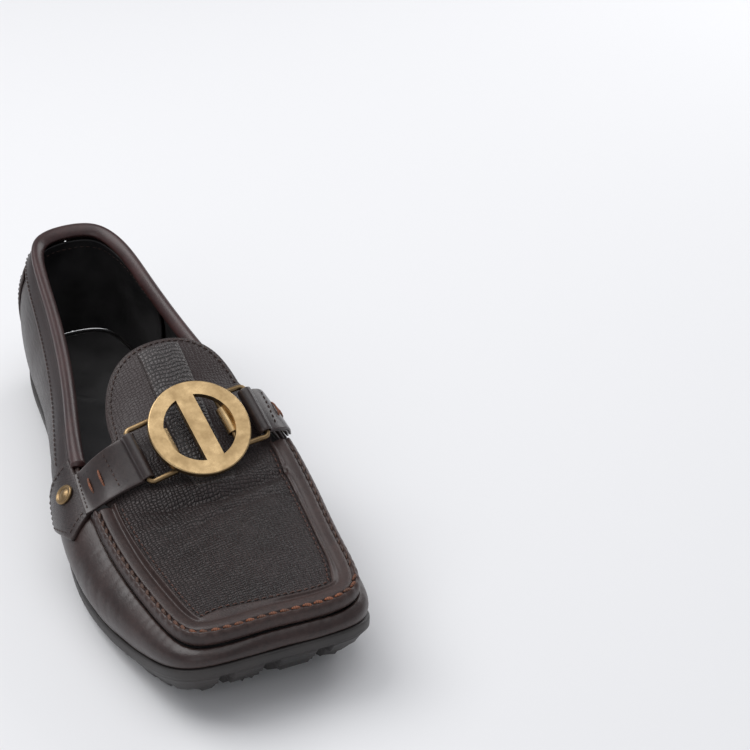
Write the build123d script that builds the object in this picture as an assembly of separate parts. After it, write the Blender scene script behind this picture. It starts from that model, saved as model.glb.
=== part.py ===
from build123d import *
import math
import os

# A driving moccasin for the right foot, in millimetres.
# The toe points to -Y, the heel to +Y, the wearer's right (lateral) side to -X, and up is +Z.

# ---------------------------------------------------------------- driving dimensions
# Control stations of the last, anticlockwise from the heel along the lateral side, the toe and
# the medial side: x and y of the feather line, inset and height of the upper's top edge, bulge.
LAST = [
    (9.5, 144.6, 3.5, 76, 4),
    (-11, 141.6, 5, 75, 4),
    (-20.5, 121, 9, 71, 4.5),
    (-23, 92, 8.5, 65, 5.5),
    (-27, 62, 7.5, 60, 5.5),
    (-32.5, 32, 6.5, 55, 5.5),
    (-40.5, 3, 6, 50, 6),
    (-48.5, -27, 8, 43, 6),
    (-52.5, -56, 9, 37, 5),
    (-50, -87, 7.5, 34, 4.5),
    (-45.5, -115, 6, 33, 3),
    (-39.5, -147, 4, 35, 1),
    (-4.5, -145, 3.5, 37, 1),
    (25.5, -149, 3.5, 37, 1),
    (44.5, -140, 3.5, 36, 1),
    (45.5, -110, 2.5, 37, 2.5),
    (48, -80, 1, 40, 3.5),
    (50.5, -50, 1, 45, 3.5),
    (49, -20, 1, 50, 3.5),
    (43.5, 8, 1, 52, 3.5),
    (40, 38, 1.5, 55, 4.5),
    (38.5, 66, 3, 60, 5.5),
    (37.5, 95, 4, 65, 5.5),
    (36.5, 122, 4.5, 71, 4.5),
    (29, 142.1, 5, 75, 4),
]
STATIONS = len(LAST)

# Where the pieces of the wall begin and end, counted in stations of the last.
LATERAL_END = 6.5          # lateral quarter meets the vamp
MEDIAL_END = 18.5          # medial quarter meets the vamp
PLUG_START = 6.9           # plug's edge, lateral end
PLUG_FINISH = 18.1         # plug's edge, medial end
SEAM_START = 7.75          # raised plug seam, lateral end
SEAM_FINISH = 17.2         # raised plug seam, medial end
COLLAR_LATERAL = 6.3       # collar binding, lateral end
COLLAR_MEDIAL = 18.7       # collar binding, medial end
HEEL_LINING_REACH = 3.2    # stations either side of the heel
HEEL_COUNTER_REACH = 3.0
HEEL_PATCH_REACH = 1.75
HEEL_PATCH_TOP = 0.72      # share of the wall's height that the patch and the counter cover

# Sole, measured from the feather line, the top edge of the rubber.
FEATHER_Z = 11.0           # height of the feather line along the flat of the sole
TOE_LIFT = 19.0            # how much higher it is at the toe
HEEL_LIFT = 6.0
FEATHER_FLAT = (-62, 88)   # it is level between these y
TREAD_FLAT = (-90, 116)    # the tread is flat on the ground between these y
TREAD_TOE_LIFT = 18.0      # toe spring of the tread
TREAD_HEEL_LIFT = 3.0
CUP_DEPTH = 6.0            # depth of the rubber cup that the upper sits in
RIM = 3.0                  # thickness of the cup's wall
SOLE_FLARE = 1.2           # how far the rubber stands out from the feather line
# Side of the rubber: heights, and how far it is drawn in from the feather line at each.
SKIRT = ((-2.0, 8.0), (3.0, 4.5), (8.0, -SOLE_FLARE))
GROOVE = 3.0               # width of the tread's grooves
GROOVE_DEPTH = 2.5
GROOVE_PITCH = 12.0        # of the grooves that run across the tread
CROSS_GROOVE_END = 126.0   # y of the first and last of them
LONG_GROOVES = (-22.0, -3.0, 19.0)   # x of the grooves that run along it
TOE_NOTCH_Y = -148.0       # each of them is notched up the front of the toe
TOE_NOTCH_DEPTH = 4.0
TOE_NOTCH_HEIGHT = 16.0

# Layers inside the cup: inset from the feather line, and heights above it.
FILLER = (3.3, -5.9, -4.0)
BOARD = (3.5, -3.9, -2.4)
FOAM = (5.4, -2.3, 0.7)
SOCK = (5.6, 0.8, 1.9)

# Leather and stiffener thicknesses, and the gap left between layers.
LEATHER = 1.8
LINING = 1.0
STIFFENER = 1.2
VAMP_LINING = 0.7
HEEL_PATCH = 1.2
PATCH_GAP = 0.4            # between the heel patch and the quarters
GAP = 0.2
WALL_ARC = math.radians(68)   # how far the wall turns over between the feather line and its top

# Instep: stations of the plug and its tongue tab, toe to heel.
# y, lateral x and z, height of the ridge, medial x and z.
INSTEP = [
    (-152, -32.5, 40, 42, 41.5, 40),
    (-130, -34.5, 40, 43.5, 41.5, 42),
    (-107, -37.5, 39.5, 46, 42.5, 43),
    (-82, -41.5, 40, 48, 45.5, 45),
    (-60, -41.5, 41.5, 50.8, 48.5, 46.5),
    (-42, -40.5, 44, 57.6, 47.5, 50),
    (-27, -36.5, 50, 65.5, 45.5, 54.5),
    (-12, -28.5, 57, 73.5, 41.5, 63),
    (3, -24.5, 67, 80.5, 39.5, 73),
    (18, -24.5, 73, 84, 39.5, 76),
]
PLUG_SET_IN = 8.6          # from the wall's top edge in to the plug's edge
TAB_HALF_WIDTH = 32.0
TAB_CENTRE_X = 8.0
TAB_BACK_Y = 12.0
TAB_FRONT_Y = -28.0
STRIP_HALF_WIDTH = 9.5     # raised strip down the middle of the tongue
STRIP_BACK_Y = 7.0
STRIP_FRONT_Y = -62.0
STRIP_RISE = 1.1           # of its top above the plug
STRIP_THICKNESS = 1.0

# Strap and buckle, in a plane square across the sloping instep.
STRAP_DIP = 33.0           # forward slope of the buckle and of the strap's folded loops
STRAP_TURN = 7.3           # turn of the strap on the instep: its lateral end is nearer the toe
BUCKLE_CENTRE = (8.5, -40.0, 66.5)
DISC_RADIUS = 22.0
DISC_THICKNESS = 3.0
DISC_RIM = 6.5             # width of the disc's ring of brass
CROSSBAR = 8.0             # width of the bar left across the middle
DISC_EDGE = 0.6            # rounding of the disc's edges
WIRE_RADIUS = 1.2
RING_INNER_X = 14.0        # ring hinge under the disc
RING_OUTER_X = 28.0        # ring hinge in the strap's loop
RING_INNER_H = -1.9
RING_OUTER_H = {"lateral": -4.4, "medial": -3.0}
RING_WIDTH = 25.4          # across the strap, between wire centres
HINGE_CLEARANCE = 0.3
LOOP_SLACK = 0.8           # extra room for the bar in the medial loop
TUNNEL_WALL = 0.9
TUNNEL_LENGTH = 12.0
LOOP_WIDTH = 21.6
LOOP_WALL = 1.5
LOOP_TAIL = 2.4            # two thicknesses of strap
BADGE_THICKNESS = 1.5
BADGE_GAP = 0.5            # between the badge and the wall it is sewn to
# Outline of the lateral badge: station, and the lower and upper heights on the wall there.
BADGE_SHAPE = [
    (6.38, 0.84, 0.91),
    (6.5, 0.42, 0.93),
    (7.0, 0.32, 1.0),
    (7.5, 0.56, 1.06),
    (7.72, 0.66, 0.71),
]
BADGE_MIRROR = 24.95       # the medial badge is at this station less the lateral one's
RIVET_HEAD_RADIUS = 4.6
RIVET_SHANK_RADIUS = 1.5
RIVET_PLACE = (6.95, 0.78)   # station and height of the lateral rivet


# ---------------------------------------------------------------- the last
def blend(values, t):
    """Value of a closed uniform cubic B-spline through control values at station t."""
    i = math.floor(t)
    f = t - i
    weights = (
        (1 - f) ** 3 / 6,
        (3 * f ** 3 - 6 * f ** 2 + 4) / 6,
        (-3 * f ** 3 + 3 * f ** 2 + 3 * f + 1) / 6,
        f ** 3 / 6,
    )
    return sum(w * values[(i - 1 + k) % len(values)] for k, w in enumerate(weights))


def column(index):
    return [row[index] for row in LAST]


def feather_z(y):
    """Height of the feather line at y."""
    toe = max(0.0, (FEATHER_FLAT[0] - y) / 85) ** 2
    heel = max(0.0, (y - FEATHER_FLAT[1]) / 58) ** 2
    return FEATHER_Z + TOE_LIFT * toe + HEEL_LIFT * heel


def tread_z(y):
    """Height of the tread's lowest surface at y."""
    toe = max(0.0, (TREAD_FLAT[0] - y) / 58) ** 2
    heel = max(0.0, (y - TREAD_FLAT[1]) / 30) ** 2
    return TREAD_TOE_LIFT * toe + TREAD_HEEL_LIFT * heel


def plan_frame(t):
    """Point on the feather line at station t, and the inward normal there."""
    step = 1e-3
    x, y = (blend(column(k), t) for k in (0, 1))
    dx, dy = (blend(column(k), t + step) - blend(column(k), t - step) for k in (0, 1))
    length = math.hypot(dx, dy)
    return (x, y), (-dy / length, dx / length)


def section_point(t, h, depth=0.0):
    """Inset and height on the wall's section at station t: h is 0 at the feather line and 1 at
    the top edge, and depth is measured inwards from the outer surface."""
    (x, y), _ = plan_frame(t)
    inset, top, bulge = (blend(column(k), t) for k in (2, 3, 4))
    low = feather_z(y)

    def outer(k):
        turn = (1 - math.cos(WALL_ARC * k)) / (1 - math.cos(WALL_ARC))
        rise = math.sin(WALL_ARC * k) / math.sin(WALL_ARC)
        return inset * turn - bulge * math.sin(math.pi * k), low + (top - low) * rise

    a, z = outer(h)
    a0, z0 = outer(h - 0.01)
    a1, z1 = outer(h + 0.01)
    length = math.hypot(a1 - a0, z1 - z0)
    return a + depth * (z1 - z0) / length, z - depth * (a1 - a0) / length


def place(t, inset, z):
    """3-D point at an inset from the feather line at station t."""
    (x, y), (nx, ny) = plan_frame(t)
    return Vector(x + nx * inset, y + ny * inset, z)


def wall_point(t, h, depth=0.0):
    inset, z = section_point(t, h, depth)
    return place(t, inset, z)


def steps(start, stop, count):
    return [start + (stop - start) * k / count for k in range(count + 1)]


def grid(start, stop):
    """Stations for a lofted layer: its two ends, and every half station between them."""
    first = math.floor(2 * start) + 1
    last = math.ceil(2 * stop) - 1
    inner = [k / 2 for k in range(first, last + 1)]
    inner = [t for t in inner if t - start > 0.2 and stop - t > 0.2]
    return [start] + inner + [stop]


# ---------------------------------------------------------------- builders
def ring_face(points_out, points_in):
    """Planar face between an outer and an inner line of points."""
    out = Spline(points_out)
    back = Spline(list(reversed(points_in)))
    edges = [out, Line(out @ 1, back @ 0), back, Line(back @ 1, out @ 0)]
    return Face(Wire(edges))


def wall(t0, t1, h0, h1, depth0, depth1):
    """A layer of the upper's wall, from station t0 to t1 and height h0 to h1."""
    heights = steps(h0, h1, 5)
    sections = []
    for t in grid(t0, t1):
        outer = [wall_point(t, h, depth0) for h in heights]
        inner = [wall_point(t, h, depth1) for h in heights]
        sections.append(ring_face(outer, inner))
    return loft(sections, ruled=True)


def near_edge(t, depth, rise):
    """3-D point near the wall's top edge: depth inwards from the outer surface, and rise along
    the wall from its top edge."""
    length = math.dist(section_point(t, 0.0), section_point(t, 1.0))
    return wall_point(t, 1 + rise / length, depth)


def above_edge(t, inset, rise):
    """3-D point level with the wall's top edge, further in by inset and up by rise."""
    edge, z = section_point(t, 1.0)
    return place(t, edge + inset, z + rise)


def edge_strip(t0, t1, profile, locate):
    """A strip along the wall's top edge, with locate placing each pair of the profile."""
    sections = []
    for t in grid(t0, t1):
        points = [locate(t, across, rise) for across, rise in profile]
        sections.append(Face(Wire(Polyline(*points, close=True).edges())))
    return loft(sections, ruled=True)


def outline(inset, z=0.0, count=60):
    """Closed plan outline at an inset from the feather line."""
    points = []
    for t in steps(0, STATIONS, count)[:-1]:
        (x, y), (nx, ny) = plan_frame(t)
        points.append(Vector(x + nx * inset, y + ny * inset, z))
    return Face(Wire(Spline(points, periodic=True)))


def rocker_line(height, flat, rise):
    """Side view of a sole surface: level between the two ends of flat and curved up beyond."""
    def point(y):
        return Vector(-90, y, height(y) + rise)

    def slope(y):
        return Vector(0, 1, (height(y + 0.5) - height(y - 0.5)))

    toe = Spline([point(y) for y in steps(-165, flat[0], 5)], tangents=[slope(-165), (0, 1, 0)])
    heel = Spline([point(y) for y in steps(flat[1], 165, 5)], tangents=[(0, 1, 0), slope(165)])
    return [toe, Line(toe @ 1, heel @ 0), heel]


def rocker_slab(lower, upper):
    """Slab across the sole between two side-view lines."""
    ends = [Line(upper[0] @ 0, lower[0] @ 0), Line(upper[-1] @ 1, lower[-1] @ 1)]
    face = Face(Wire(lower + upper + ends))
    return extrude(face, amount=180, dir=(1, 0, 0))


def sole_layer(inset, low, high):
    """A sheet of the sole's shape, between two heights above the feather line."""
    prism = extrude(outline(inset, -10), amount=80, dir=(0, 0, 1))
    lower = rocker_line(feather_z, FEATHER_FLAT, low)
    return prism & rocker_slab(lower, rocker_line(feather_z, FEATHER_FLAT, high))


def biggest(shape):
    """The largest solid of a shape."""
    return max(shape.solids(), key=lambda s: s.volume)


# ---------------------------------------------------------------- sole
def outsole():
    """Rubber cup sole: a wall round the edge, a tread drawn in below it, and cut grooves."""
    skirt = loft([outline(inset, z) for z, inset in SKIRT])
    crown_z, flare = SKIRT[-1]
    crown = extrude(outline(flare, crown_z), amount=35, dir=(0, 0, 1))
    tread = rocker_line(tread_z, TREAD_FLAT, 0.0)
    blank = (skirt + crown) & rocker_slab(tread, rocker_line(feather_z, FEATHER_FLAT, 0.0))
    blank -= sole_layer(RIM, -CUP_DEPTH, 20)
    count = round(2 * CROSS_GROOVE_END / GROOVE_PITCH)
    for y in steps(-CROSS_GROOVE_END, CROSS_GROOVE_END, count):
        blank -= Pos(0, y, tread_z(y)) * Box(200, GROOVE, 2 * GROOVE_DEPTH)
    for x in LONG_GROOVES:
        blank -= Pos(x, 0, 0) * Box(GROOVE, 280, 2 * GROOVE_DEPTH)
        notch = Box(GROOVE + 1, 2 * TOE_NOTCH_DEPTH, TOE_NOTCH_HEIGHT)
        blank -= Pos(x, TOE_NOTCH_Y, TOE_NOTCH_HEIGHT / 2) * notch
    return biggest(blank)


# ---------------------------------------------------------------- upper
def collar_profile():
    """Folded binding: a band outside the quarter, a roll over the edge and a short inner hem."""
    return [
        (-1.2, -12.0), (-1.4, -6.0), (-1.9, 0.0), (-1.4, 1.9), (0.6, 2.9), (2.8, 2.3),
        (3.7, 0.6), (3.6, -2.8), (3.0, -2.8), (3.0, 0.4), (-0.2, 0.4), (-0.2, -6.0), (-0.2, -12.0),
    ]


def seam_profile():
    """Raised seam where the vamp is gathered to the plug."""
    return [
        (0.2, 0.5), (-0.3, 2.6), (0.2, 4.6), (2.0, 6.2), (5.0, 6.8), (8.2, 6.3), (8.2, 4.4),
        (5.0, 4.4), (2.8, 3.2), (2.0, 0.6),
    ]


def instep_section(row, drop, thickness):
    """Arched slice of the plug at one station, drop below its top surface."""
    y, xl, zl, zr, xm, zm = row
    xc = (xl + xm) / 2
    half = (xm - xl) / 2
    top = []
    for k in (-1.12, -0.75, -0.4, 0, 0.4, 0.75, 1.12):
        chord = zl + (zm - zl) * (k + 1) / 2
        crown = zr - (zl + zm) / 2
        top.append(Vector(xc + half * k, y, chord + crown * (1 - k * k) - drop))
    under = [p - Vector(0, 0, thickness) for p in top]
    return ring_face(top, under)


def instep_slab(drop, thickness):
    return loft([instep_section(row, drop, thickness) for row in INSTEP])


def plug_outline(set_in):
    """Plan outline of the plug and its tongue tab."""
    seam = []
    for t in steps(PLUG_START, PLUG_FINISH, 34):
        inset, _ = section_point(t, 1.0)
        seam.append(place(t, inset + set_in, 0))
    edge = set_in - PLUG_SET_IN
    half = TAB_HALF_WIDTH - edge
    depth = TAB_BACK_Y - edge - TAB_FRONT_Y
    tab = []
    for k in range(1, 16):
        angle = math.pi * k / 16
        x = TAB_CENTRE_X + half * math.copysign(abs(math.cos(angle)) ** 0.75, math.cos(angle))
        tab.append(Vector(x, TAB_FRONT_Y + depth * math.sin(angle) ** 0.75, 0))
    return Face(Wire(Spline(seam + tab, periodic=True)))


def plug_layer(set_in, drop, thickness):
    prism = extrude(plug_outline(set_in), amount=120, dir=(0, 0, 1))
    return biggest(prism & instep_slab(drop, thickness))


def centre_strip():
    """Narrow raised strip on the plug, from the tongue's edge to just ahead of the buckle."""
    length = STRIP_BACK_Y - STRIP_FRONT_Y
    middle = (STRIP_BACK_Y + STRIP_FRONT_Y) / 2
    prism = Pos(TAB_CENTRE_X, middle, 60) * Box(2 * STRIP_HALF_WIDTH, length, 120)
    return biggest(prism & instep_slab(-STRIP_RISE, STRIP_THICKNESS))


# ---------------------------------------------------------------- strap and buckle
def strap_plane():
    """Local frame: x across the shoe, y out of the instep, z along the strap's width to the toe."""
    dip = math.radians(STRAP_DIP)
    turn = math.radians(STRAP_TURN)
    toeward = Vector(0, -math.cos(dip), -math.sin(dip))
    medial = Vector(1, 0, 0)
    across = medial * math.cos(turn) - toeward * math.sin(turn)
    width_dir = toeward * math.cos(turn) + medial * math.sin(turn)
    return Plane(origin=BUCKLE_CENTRE, x_dir=across, z_dir=width_dir)


STRAP = strap_plane()

# Underside of the strap's tails in that plane, from the ring's bar down to the badge, at three
# places across the strap's width.
LOOP_LINE = {
    "lateral": {
        -0.5: [(-28, -6.6), (-35, -9.8), (-41, -16.5), (-46.2, -25.6), (-48.9, -27.4)],
        0.0: [(-28, -6.6), (-35, -9.2), (-42, -14.2), (-48.6, -21.4), (-52, -23.2)],
        0.5: [(-28, -6.6), (-35, -8.3), (-43.5, -11.8), (-50.8, -17.1), (-54.6, -18.9)],
    },
    "medial": {
        -0.5: [(28, -5.2), (34.5, -9.5), (38.6, -17.5), (41.1, -27.5), (41.7, -29.0)],
        0.0: [(28, -5.2), (34.5, -8.6), (39, -14.5), (41.3, -22.6), (41.9, -23.8)],
        0.5: [(28, -5.2), (34.5, -7.8), (38.8, -11.5), (40.9, -17.5), (41.4, -18.5)],
    },
}


def badge_station(side, t):
    return t if side == "lateral" else BADGE_MIRROR - t


def badge_rows():
    """The badge's outline, with three rows added between its corners so that it hugs the wall."""
    rows = []
    for first, second in zip(BADGE_SHAPE, BADGE_SHAPE[1:]):
        for share in (0, 0.25, 0.5, 0.75):
            rows.append([a + (b - a) * share for a, b in zip(first, second)])
    return rows + [BADGE_SHAPE[-1]]


def badge(side):
    """Side badge under the strap's end, lying on the wall."""
    sections = []
    for t, low, high in badge_rows():
        station = badge_station(side, t)
        heights = steps(low, high, 4)
        outer = [wall_point(station, h, -BADGE_GAP - BADGE_THICKNESS) for h in heights]
        inner = [wall_point(station, h, -BADGE_GAP) for h in heights]
        sections.append(ring_face(outer, inner))
    body = loft(sections, ruled=True)
    return body - rivet_axis(side) * Cylinder(RIVET_SHANK_RADIUS, 4 * BADGE_THICKNESS)


def strap_tail(side):
    """The strap's two thicknesses, twisting from the ring's bar to lie on the badge."""
    outward = -1 if side == "lateral" else 1
    sections = []
    for share, points in LOOP_LINE[side].items():
        line = Spline([Vector(x, h, share * LOOP_WIDTH) for x, h in points])
        under, over = [], []
        for u in steps(0, 1, 8):
            tangent = line % u
            normal = Vector(-tangent.Y, tangent.X, 0) * outward
            under.append(line @ u)
            over.append(line @ u + normal * LOOP_TAIL)
        sections.append(ring_face(under, over))
    return loft(sections, ruled=True)


def strap_loop(side):
    """Strap folded round the ring's bar, with its two thicknesses sewn to the badge."""
    sign = -1 if side == "lateral" else 1
    centre = Vector(sign * RING_OUTER_X, RING_OUTER_H[side], 0)
    hole = WIRE_RADIUS + HINGE_CLEARANCE
    roll = Pos(centre) * Cylinder(hole + LOOP_WALL, LOOP_WIDTH)
    body = roll + strap_tail(side)
    body -= Pos(centre) * Cylinder(hole, LOOP_WIDTH + 2)
    if side == "medial":
        body -= Pos(centre - Vector(LOOP_SLACK, 0, 0)) * Cylinder(hole, LOOP_WIDTH + 2)
        body -= Pos(centre - Vector(LOOP_SLACK / 2, 0, 0)) * Box(LOOP_SLACK, 2 * hole, LOOP_WIDTH + 2)
    return body


def wire_ring(side):
    """Rectangular wire ring between the strap's loop and the disc."""
    sign = -1 if side == "lateral" else 1
    half = RING_WIDTH / 2
    outer_h = RING_OUTER_H[side]
    rise = RING_INNER_H - outer_h
    run = RING_OUTER_X - RING_INNER_X
    length = math.hypot(rise, run)
    middle = Vector(sign * (RING_OUTER_X + RING_INNER_X) / 2, (RING_INNER_H + outer_h) / 2, 0)
    plane = Plane(origin=middle, x_dir=(run * -sign, rise, 0), z_dir=(rise * sign, run, 0))
    corners = [(-length / 2, -half), (length / 2, -half), (length / 2, half), (-length / 2, half)]
    path = plane * FilletPolyline(*corners, radius=2.2, close=True)
    section = Plane(origin=path @ 0, z_dir=path % 0) * Circle(WIRE_RADIUS)
    return sweep(section, path=path)


def buckle_disc():
    """Round brass slide: a flat ring with a bar across it, and a hinge tunnel under each side."""
    disc = Cylinder(DISC_RADIUS, DISC_THICKNESS)
    disc = fillet(disc.edges(), DISC_EDGE)
    opening = Cylinder(DISC_RADIUS - DISC_RIM, 2 * DISC_THICKNESS)
    bar = Box(CROSSBAR, 2 * DISC_RADIUS, 3 * DISC_THICKNESS)
    disc -= opening - bar
    disc = Pos(0, DISC_THICKNESS / 2, 0) * Rot(90, 0, 0) * disc
    hole = WIRE_RADIUS + HINGE_CLEARANCE
    for sign in (-1, 1):
        centre = Vector(sign * RING_INNER_X, RING_INNER_H, 0)
        disc += Pos(centre) * Cylinder(hole + TUNNEL_WALL, TUNNEL_LENGTH)
    for sign in (-1, 1):
        centre = Vector(sign * RING_INNER_X, RING_INNER_H, 0)
        disc -= Pos(centre) * Cylinder(hole, 60)
    return disc


def rivet_axis(side):
    """Place on the badge's outer face, with z along the rivet."""
    t, h = RIVET_PLACE
    station = badge_station(side, t)
    depth = -BADGE_GAP - BADGE_THICKNESS - 0.05
    along = wall_point(station + 0.05, h, depth) - wall_point(station - 0.05, h, depth)
    upwards = wall_point(station, h + 0.02, depth) - wall_point(station, h - 0.02, depth)
    return Plane(origin=wall_point(station, h, depth), z_dir=upwards.cross(along) * -1)


def rivet(side):
    """Domed rivet with a shank clinched in the badge."""
    head = Cylinder(RIVET_HEAD_RADIUS, 1.6, align=(Align.CENTER, Align.CENTER, Align.MIN))
    head = fillet(head.faces().sort_by(Axis.Z)[-1].edges(), 1.0)
    shank = Cylinder(RIVET_SHANK_RADIUS, BADGE_THICKNESS, align=(Align.CENTER, Align.CENTER, Align.MAX))
    return rivet_axis(side) * (head + shank)


# ---------------------------------------------------------------- write the parts
def main():
    os.makedirs("parts", exist_ok=True)
    lateral = LATERAL_END - 0.03
    medial = MEDIAL_END + 0.03
    reach = HEEL_LINING_REACH
    inner = LEATHER + GAP
    behind_counter = inner + STIFFENER + 2 * GAP
    nodes = {
        "outsole": outsole(),
        "sole_filler": sole_layer(*FILLER),
        "insole_board": sole_layer(*BOARD),
        "footbed_foam": sole_layer(*FOAM),
        "sock_lining": sole_layer(*SOCK),
        "quarter_lateral": wall(0.02, lateral, 0.01, 1.0, 0.0, LEATHER),
        "quarter_medial": wall(medial, STATIONS - 0.02, 0.01, 1.0, 0.0, LEATHER),
        "vamp": wall(LATERAL_END, MEDIAL_END, 0.01, 1.0, 0.0, LEATHER),
        "heel_patch": wall(-HEEL_PATCH_REACH, HEEL_PATCH_REACH, 0.01, HEEL_PATCH_TOP,
                           -PATCH_GAP - HEEL_PATCH, -PATCH_GAP),
        "heel_counter": wall(-HEEL_COUNTER_REACH, HEEL_COUNTER_REACH, 0.03, HEEL_PATCH_TOP,
                             inner, inner + STIFFENER),
        "heel_lining": wall(-reach, reach, 0.03, 0.9, behind_counter, behind_counter + LINING),
        "quarter_lining_lateral": wall(reach + 0.05, lateral, 0.03, 0.93, inner, inner + LINING),
        "quarter_lining_medial": wall(medial, STATIONS - reach - 0.05, 0.03, 0.93,
                                      inner, inner + LINING),
        "vamp_lining": wall(LATERAL_END, MEDIAL_END, 0.1, 0.9, inner, inner + VAMP_LINING),
        "collar_binding": edge_strip(COLLAR_MEDIAL - STATIONS, COLLAR_LATERAL,
                                     collar_profile(), near_edge),
        "seam_rib": edge_strip(SEAM_START, SEAM_FINISH, seam_profile(), above_edge),
        "plug": plug_layer(PLUG_SET_IN, 0.0, LEATHER),
        "plug_lining": plug_layer(PLUG_SET_IN + 0.8, inner, LINING),
        "centre_strip": centre_strip(),
        "buckle_disc": STRAP * buckle_disc(),
    }
    for side in ("lateral", "medial"):
        side_badge = badge(side)
        nodes["side_badge_" + side] = side_badge
        nodes["strap_loop_" + side] = biggest(STRAP * strap_loop(side) - side_badge)
        nodes["ring_" + side] = STRAP * wire_ring(side)
        nodes["rivet_" + side] = rivet(side)
    for name, shape in nodes.items():
        export_step(shape, f"parts/{name}.step")


if __name__ == "__main__":
    main()
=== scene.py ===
import math

import bmesh
import bpy
import numpy as np
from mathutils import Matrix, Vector
from mathutils.geometry import delaunay_2d_cdt


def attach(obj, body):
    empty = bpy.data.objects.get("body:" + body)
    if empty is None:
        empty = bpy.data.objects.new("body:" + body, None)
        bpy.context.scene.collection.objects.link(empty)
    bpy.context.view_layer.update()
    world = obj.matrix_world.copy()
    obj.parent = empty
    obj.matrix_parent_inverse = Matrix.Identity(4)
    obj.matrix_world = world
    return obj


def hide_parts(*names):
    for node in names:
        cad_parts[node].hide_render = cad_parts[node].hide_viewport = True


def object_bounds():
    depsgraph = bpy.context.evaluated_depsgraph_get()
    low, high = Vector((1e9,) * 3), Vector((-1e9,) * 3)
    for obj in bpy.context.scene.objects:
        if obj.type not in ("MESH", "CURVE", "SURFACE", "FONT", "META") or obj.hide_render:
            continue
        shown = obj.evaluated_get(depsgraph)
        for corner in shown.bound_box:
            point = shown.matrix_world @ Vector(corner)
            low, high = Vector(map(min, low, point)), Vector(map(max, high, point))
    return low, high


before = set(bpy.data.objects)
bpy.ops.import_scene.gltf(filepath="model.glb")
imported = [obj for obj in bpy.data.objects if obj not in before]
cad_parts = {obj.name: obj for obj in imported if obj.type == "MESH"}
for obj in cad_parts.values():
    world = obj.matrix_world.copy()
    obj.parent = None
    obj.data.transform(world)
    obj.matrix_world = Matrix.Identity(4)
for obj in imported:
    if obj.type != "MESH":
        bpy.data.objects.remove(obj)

# A driving moccasin. The last, the instep and the strap are the ones of the CAD part, in its
# millimetres; meshes are written in metres.
MM = 0.001
cad_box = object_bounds()

# ---------------------------------------------------------------- the last
# Stations from the heel along the lateral side, the toe and the medial side: x and y of the
# feather line, inset and height of the upper's top edge, bulge.
LAST = np.array([
    (9.5, 144.6, 3.5, 76, 4), (-11, 141.6, 5, 75, 4), (-20.5, 121, 9, 71, 4.5),
    (-23, 92, 8.5, 65, 5.5), (-27, 62, 7.5, 60, 5.5), (-32.5, 32, 6.5, 55, 5.5),
    (-40.5, 3, 6, 50, 6), (-48.5, -27, 8, 43, 6), (-52.5, -56, 9, 37, 5),
    (-50, -87, 7.5, 34, 4.5), (-45.5, -115, 6, 33, 3), (-39.5, -147, 4, 35, 1),
    (-4.5, -145, 3.5, 37, 1), (25.5, -149, 3.5, 37, 1), (44.5, -140, 3.5, 36, 1),
    (45.5, -110, 2.5, 37, 2.5), (48, -80, 1, 40, 3.5), (50.5, -50, 1, 45, 3.5),
    (49, -20, 1, 50, 3.5), (43.5, 8, 1, 52, 3.5), (40, 38, 1.5, 55, 4.5),
    (38.5, 66, 3, 60, 5.5), (37.5, 95, 4, 65, 5.5), (36.5, 122, 4.5, 71, 4.5),
    (29, 142.1, 5, 75, 4),
])
X, Y, INSET, TOP, BULGE = range(5)
STATIONS = len(LAST)
LATERAL_END = 6.5
MEDIAL_END = 18.5
SEAM_ENDS = (7.72, 17.25)
PLUG_ENDS = (6.9, 18.1)
COLLAR_ENDS = (18.7 - STATIONS, 6.56)
HEEL_REACH = 3.2
WALL_ARC = math.radians(68)
LEATHER = 1.8
PLUG_SET_IN = 8.6

# Instep: y, lateral x and z, height of the ridge, medial x and z.
INSTEP = np.array([
    (-152, -32.5, 40, 42, 41.5, 40), (-130, -34.5, 40, 43.5, 41.5, 42),
    (-107, -37.5, 39.5, 46, 42.5, 43), (-82, -41.5, 40, 48, 45.5, 45),
    (-60, -41.5, 41.5, 50.8, 48.5, 46.5), (-42, -40.5, 44, 57.6, 47.5, 50),
    (-27, -36.5, 50, 65.5, 45.5, 54.5), (-12, -28.5, 57, 73.5, 41.5, 63),
    (3, -24.5, 67, 80.5, 39.5, 73), (18, -24.5, 73, 84, 39.5, 76),
])
TAB_HALF_WIDTH = 32.0
TAB_CENTRE_X = 8.0
TAB_BACK_Y = 12.0
TAB_FRONT_Y = -28.0
STRIP_HALF_WIDTH = 9.5
STRIP_ENDS = (-62.0, 7.0)

# Strap, in planes square across the sloping instep.
BUCKLE_CENTRE = np.array((8.5, -40.0, 66.5))
STRAP_DIP = 33.0
STRAP_TURN = 7.3
OUTWARD = {"lateral": -1, "medial": 1}
RING_OUTER_X = 28.0
RING_OUTER_H = {"lateral": -4.4, "medial": -3.0}
LOOP_LINE = {
    "lateral": [
        [(-28, -6.6), (-35, -9.8), (-41, -16.5), (-46.2, -25.6), (-48.9, -27.4)],
        [(-28, -6.6), (-35, -9.2), (-42, -14.2), (-48.6, -21.4), (-52, -23.2)],
        [(-28, -6.6), (-35, -8.3), (-43.5, -11.8), (-50.8, -17.1), (-54.6, -18.9)],
    ],
    "medial": [
        [(28, -5.2), (34.5, -9.5), (38.6, -17.5), (41.1, -27.5), (41.7, -29.0)],
        [(28, -5.2), (34.5, -8.6), (39, -14.5), (41.3, -22.6), (41.9, -23.8)],
        [(28, -5.2), (34.5, -7.8), (38.8, -11.5), (40.9, -17.5), (41.4, -18.5)],
    ],
}
LOOP_WIDTH = 21.6
LOOP_ROOM = {"lateral": (2.35, 0.0), "medial": (2.6, 0.4)}   # radius of the roll, and its slack
BADGE_SHAPE = np.array([
    (6.38, 0.84, 0.91), (6.5, 0.42, 0.93), (7.0, 0.32, 1.0), (7.5, 0.56, 1.06), (7.72, 0.66, 0.71),
])
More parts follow.
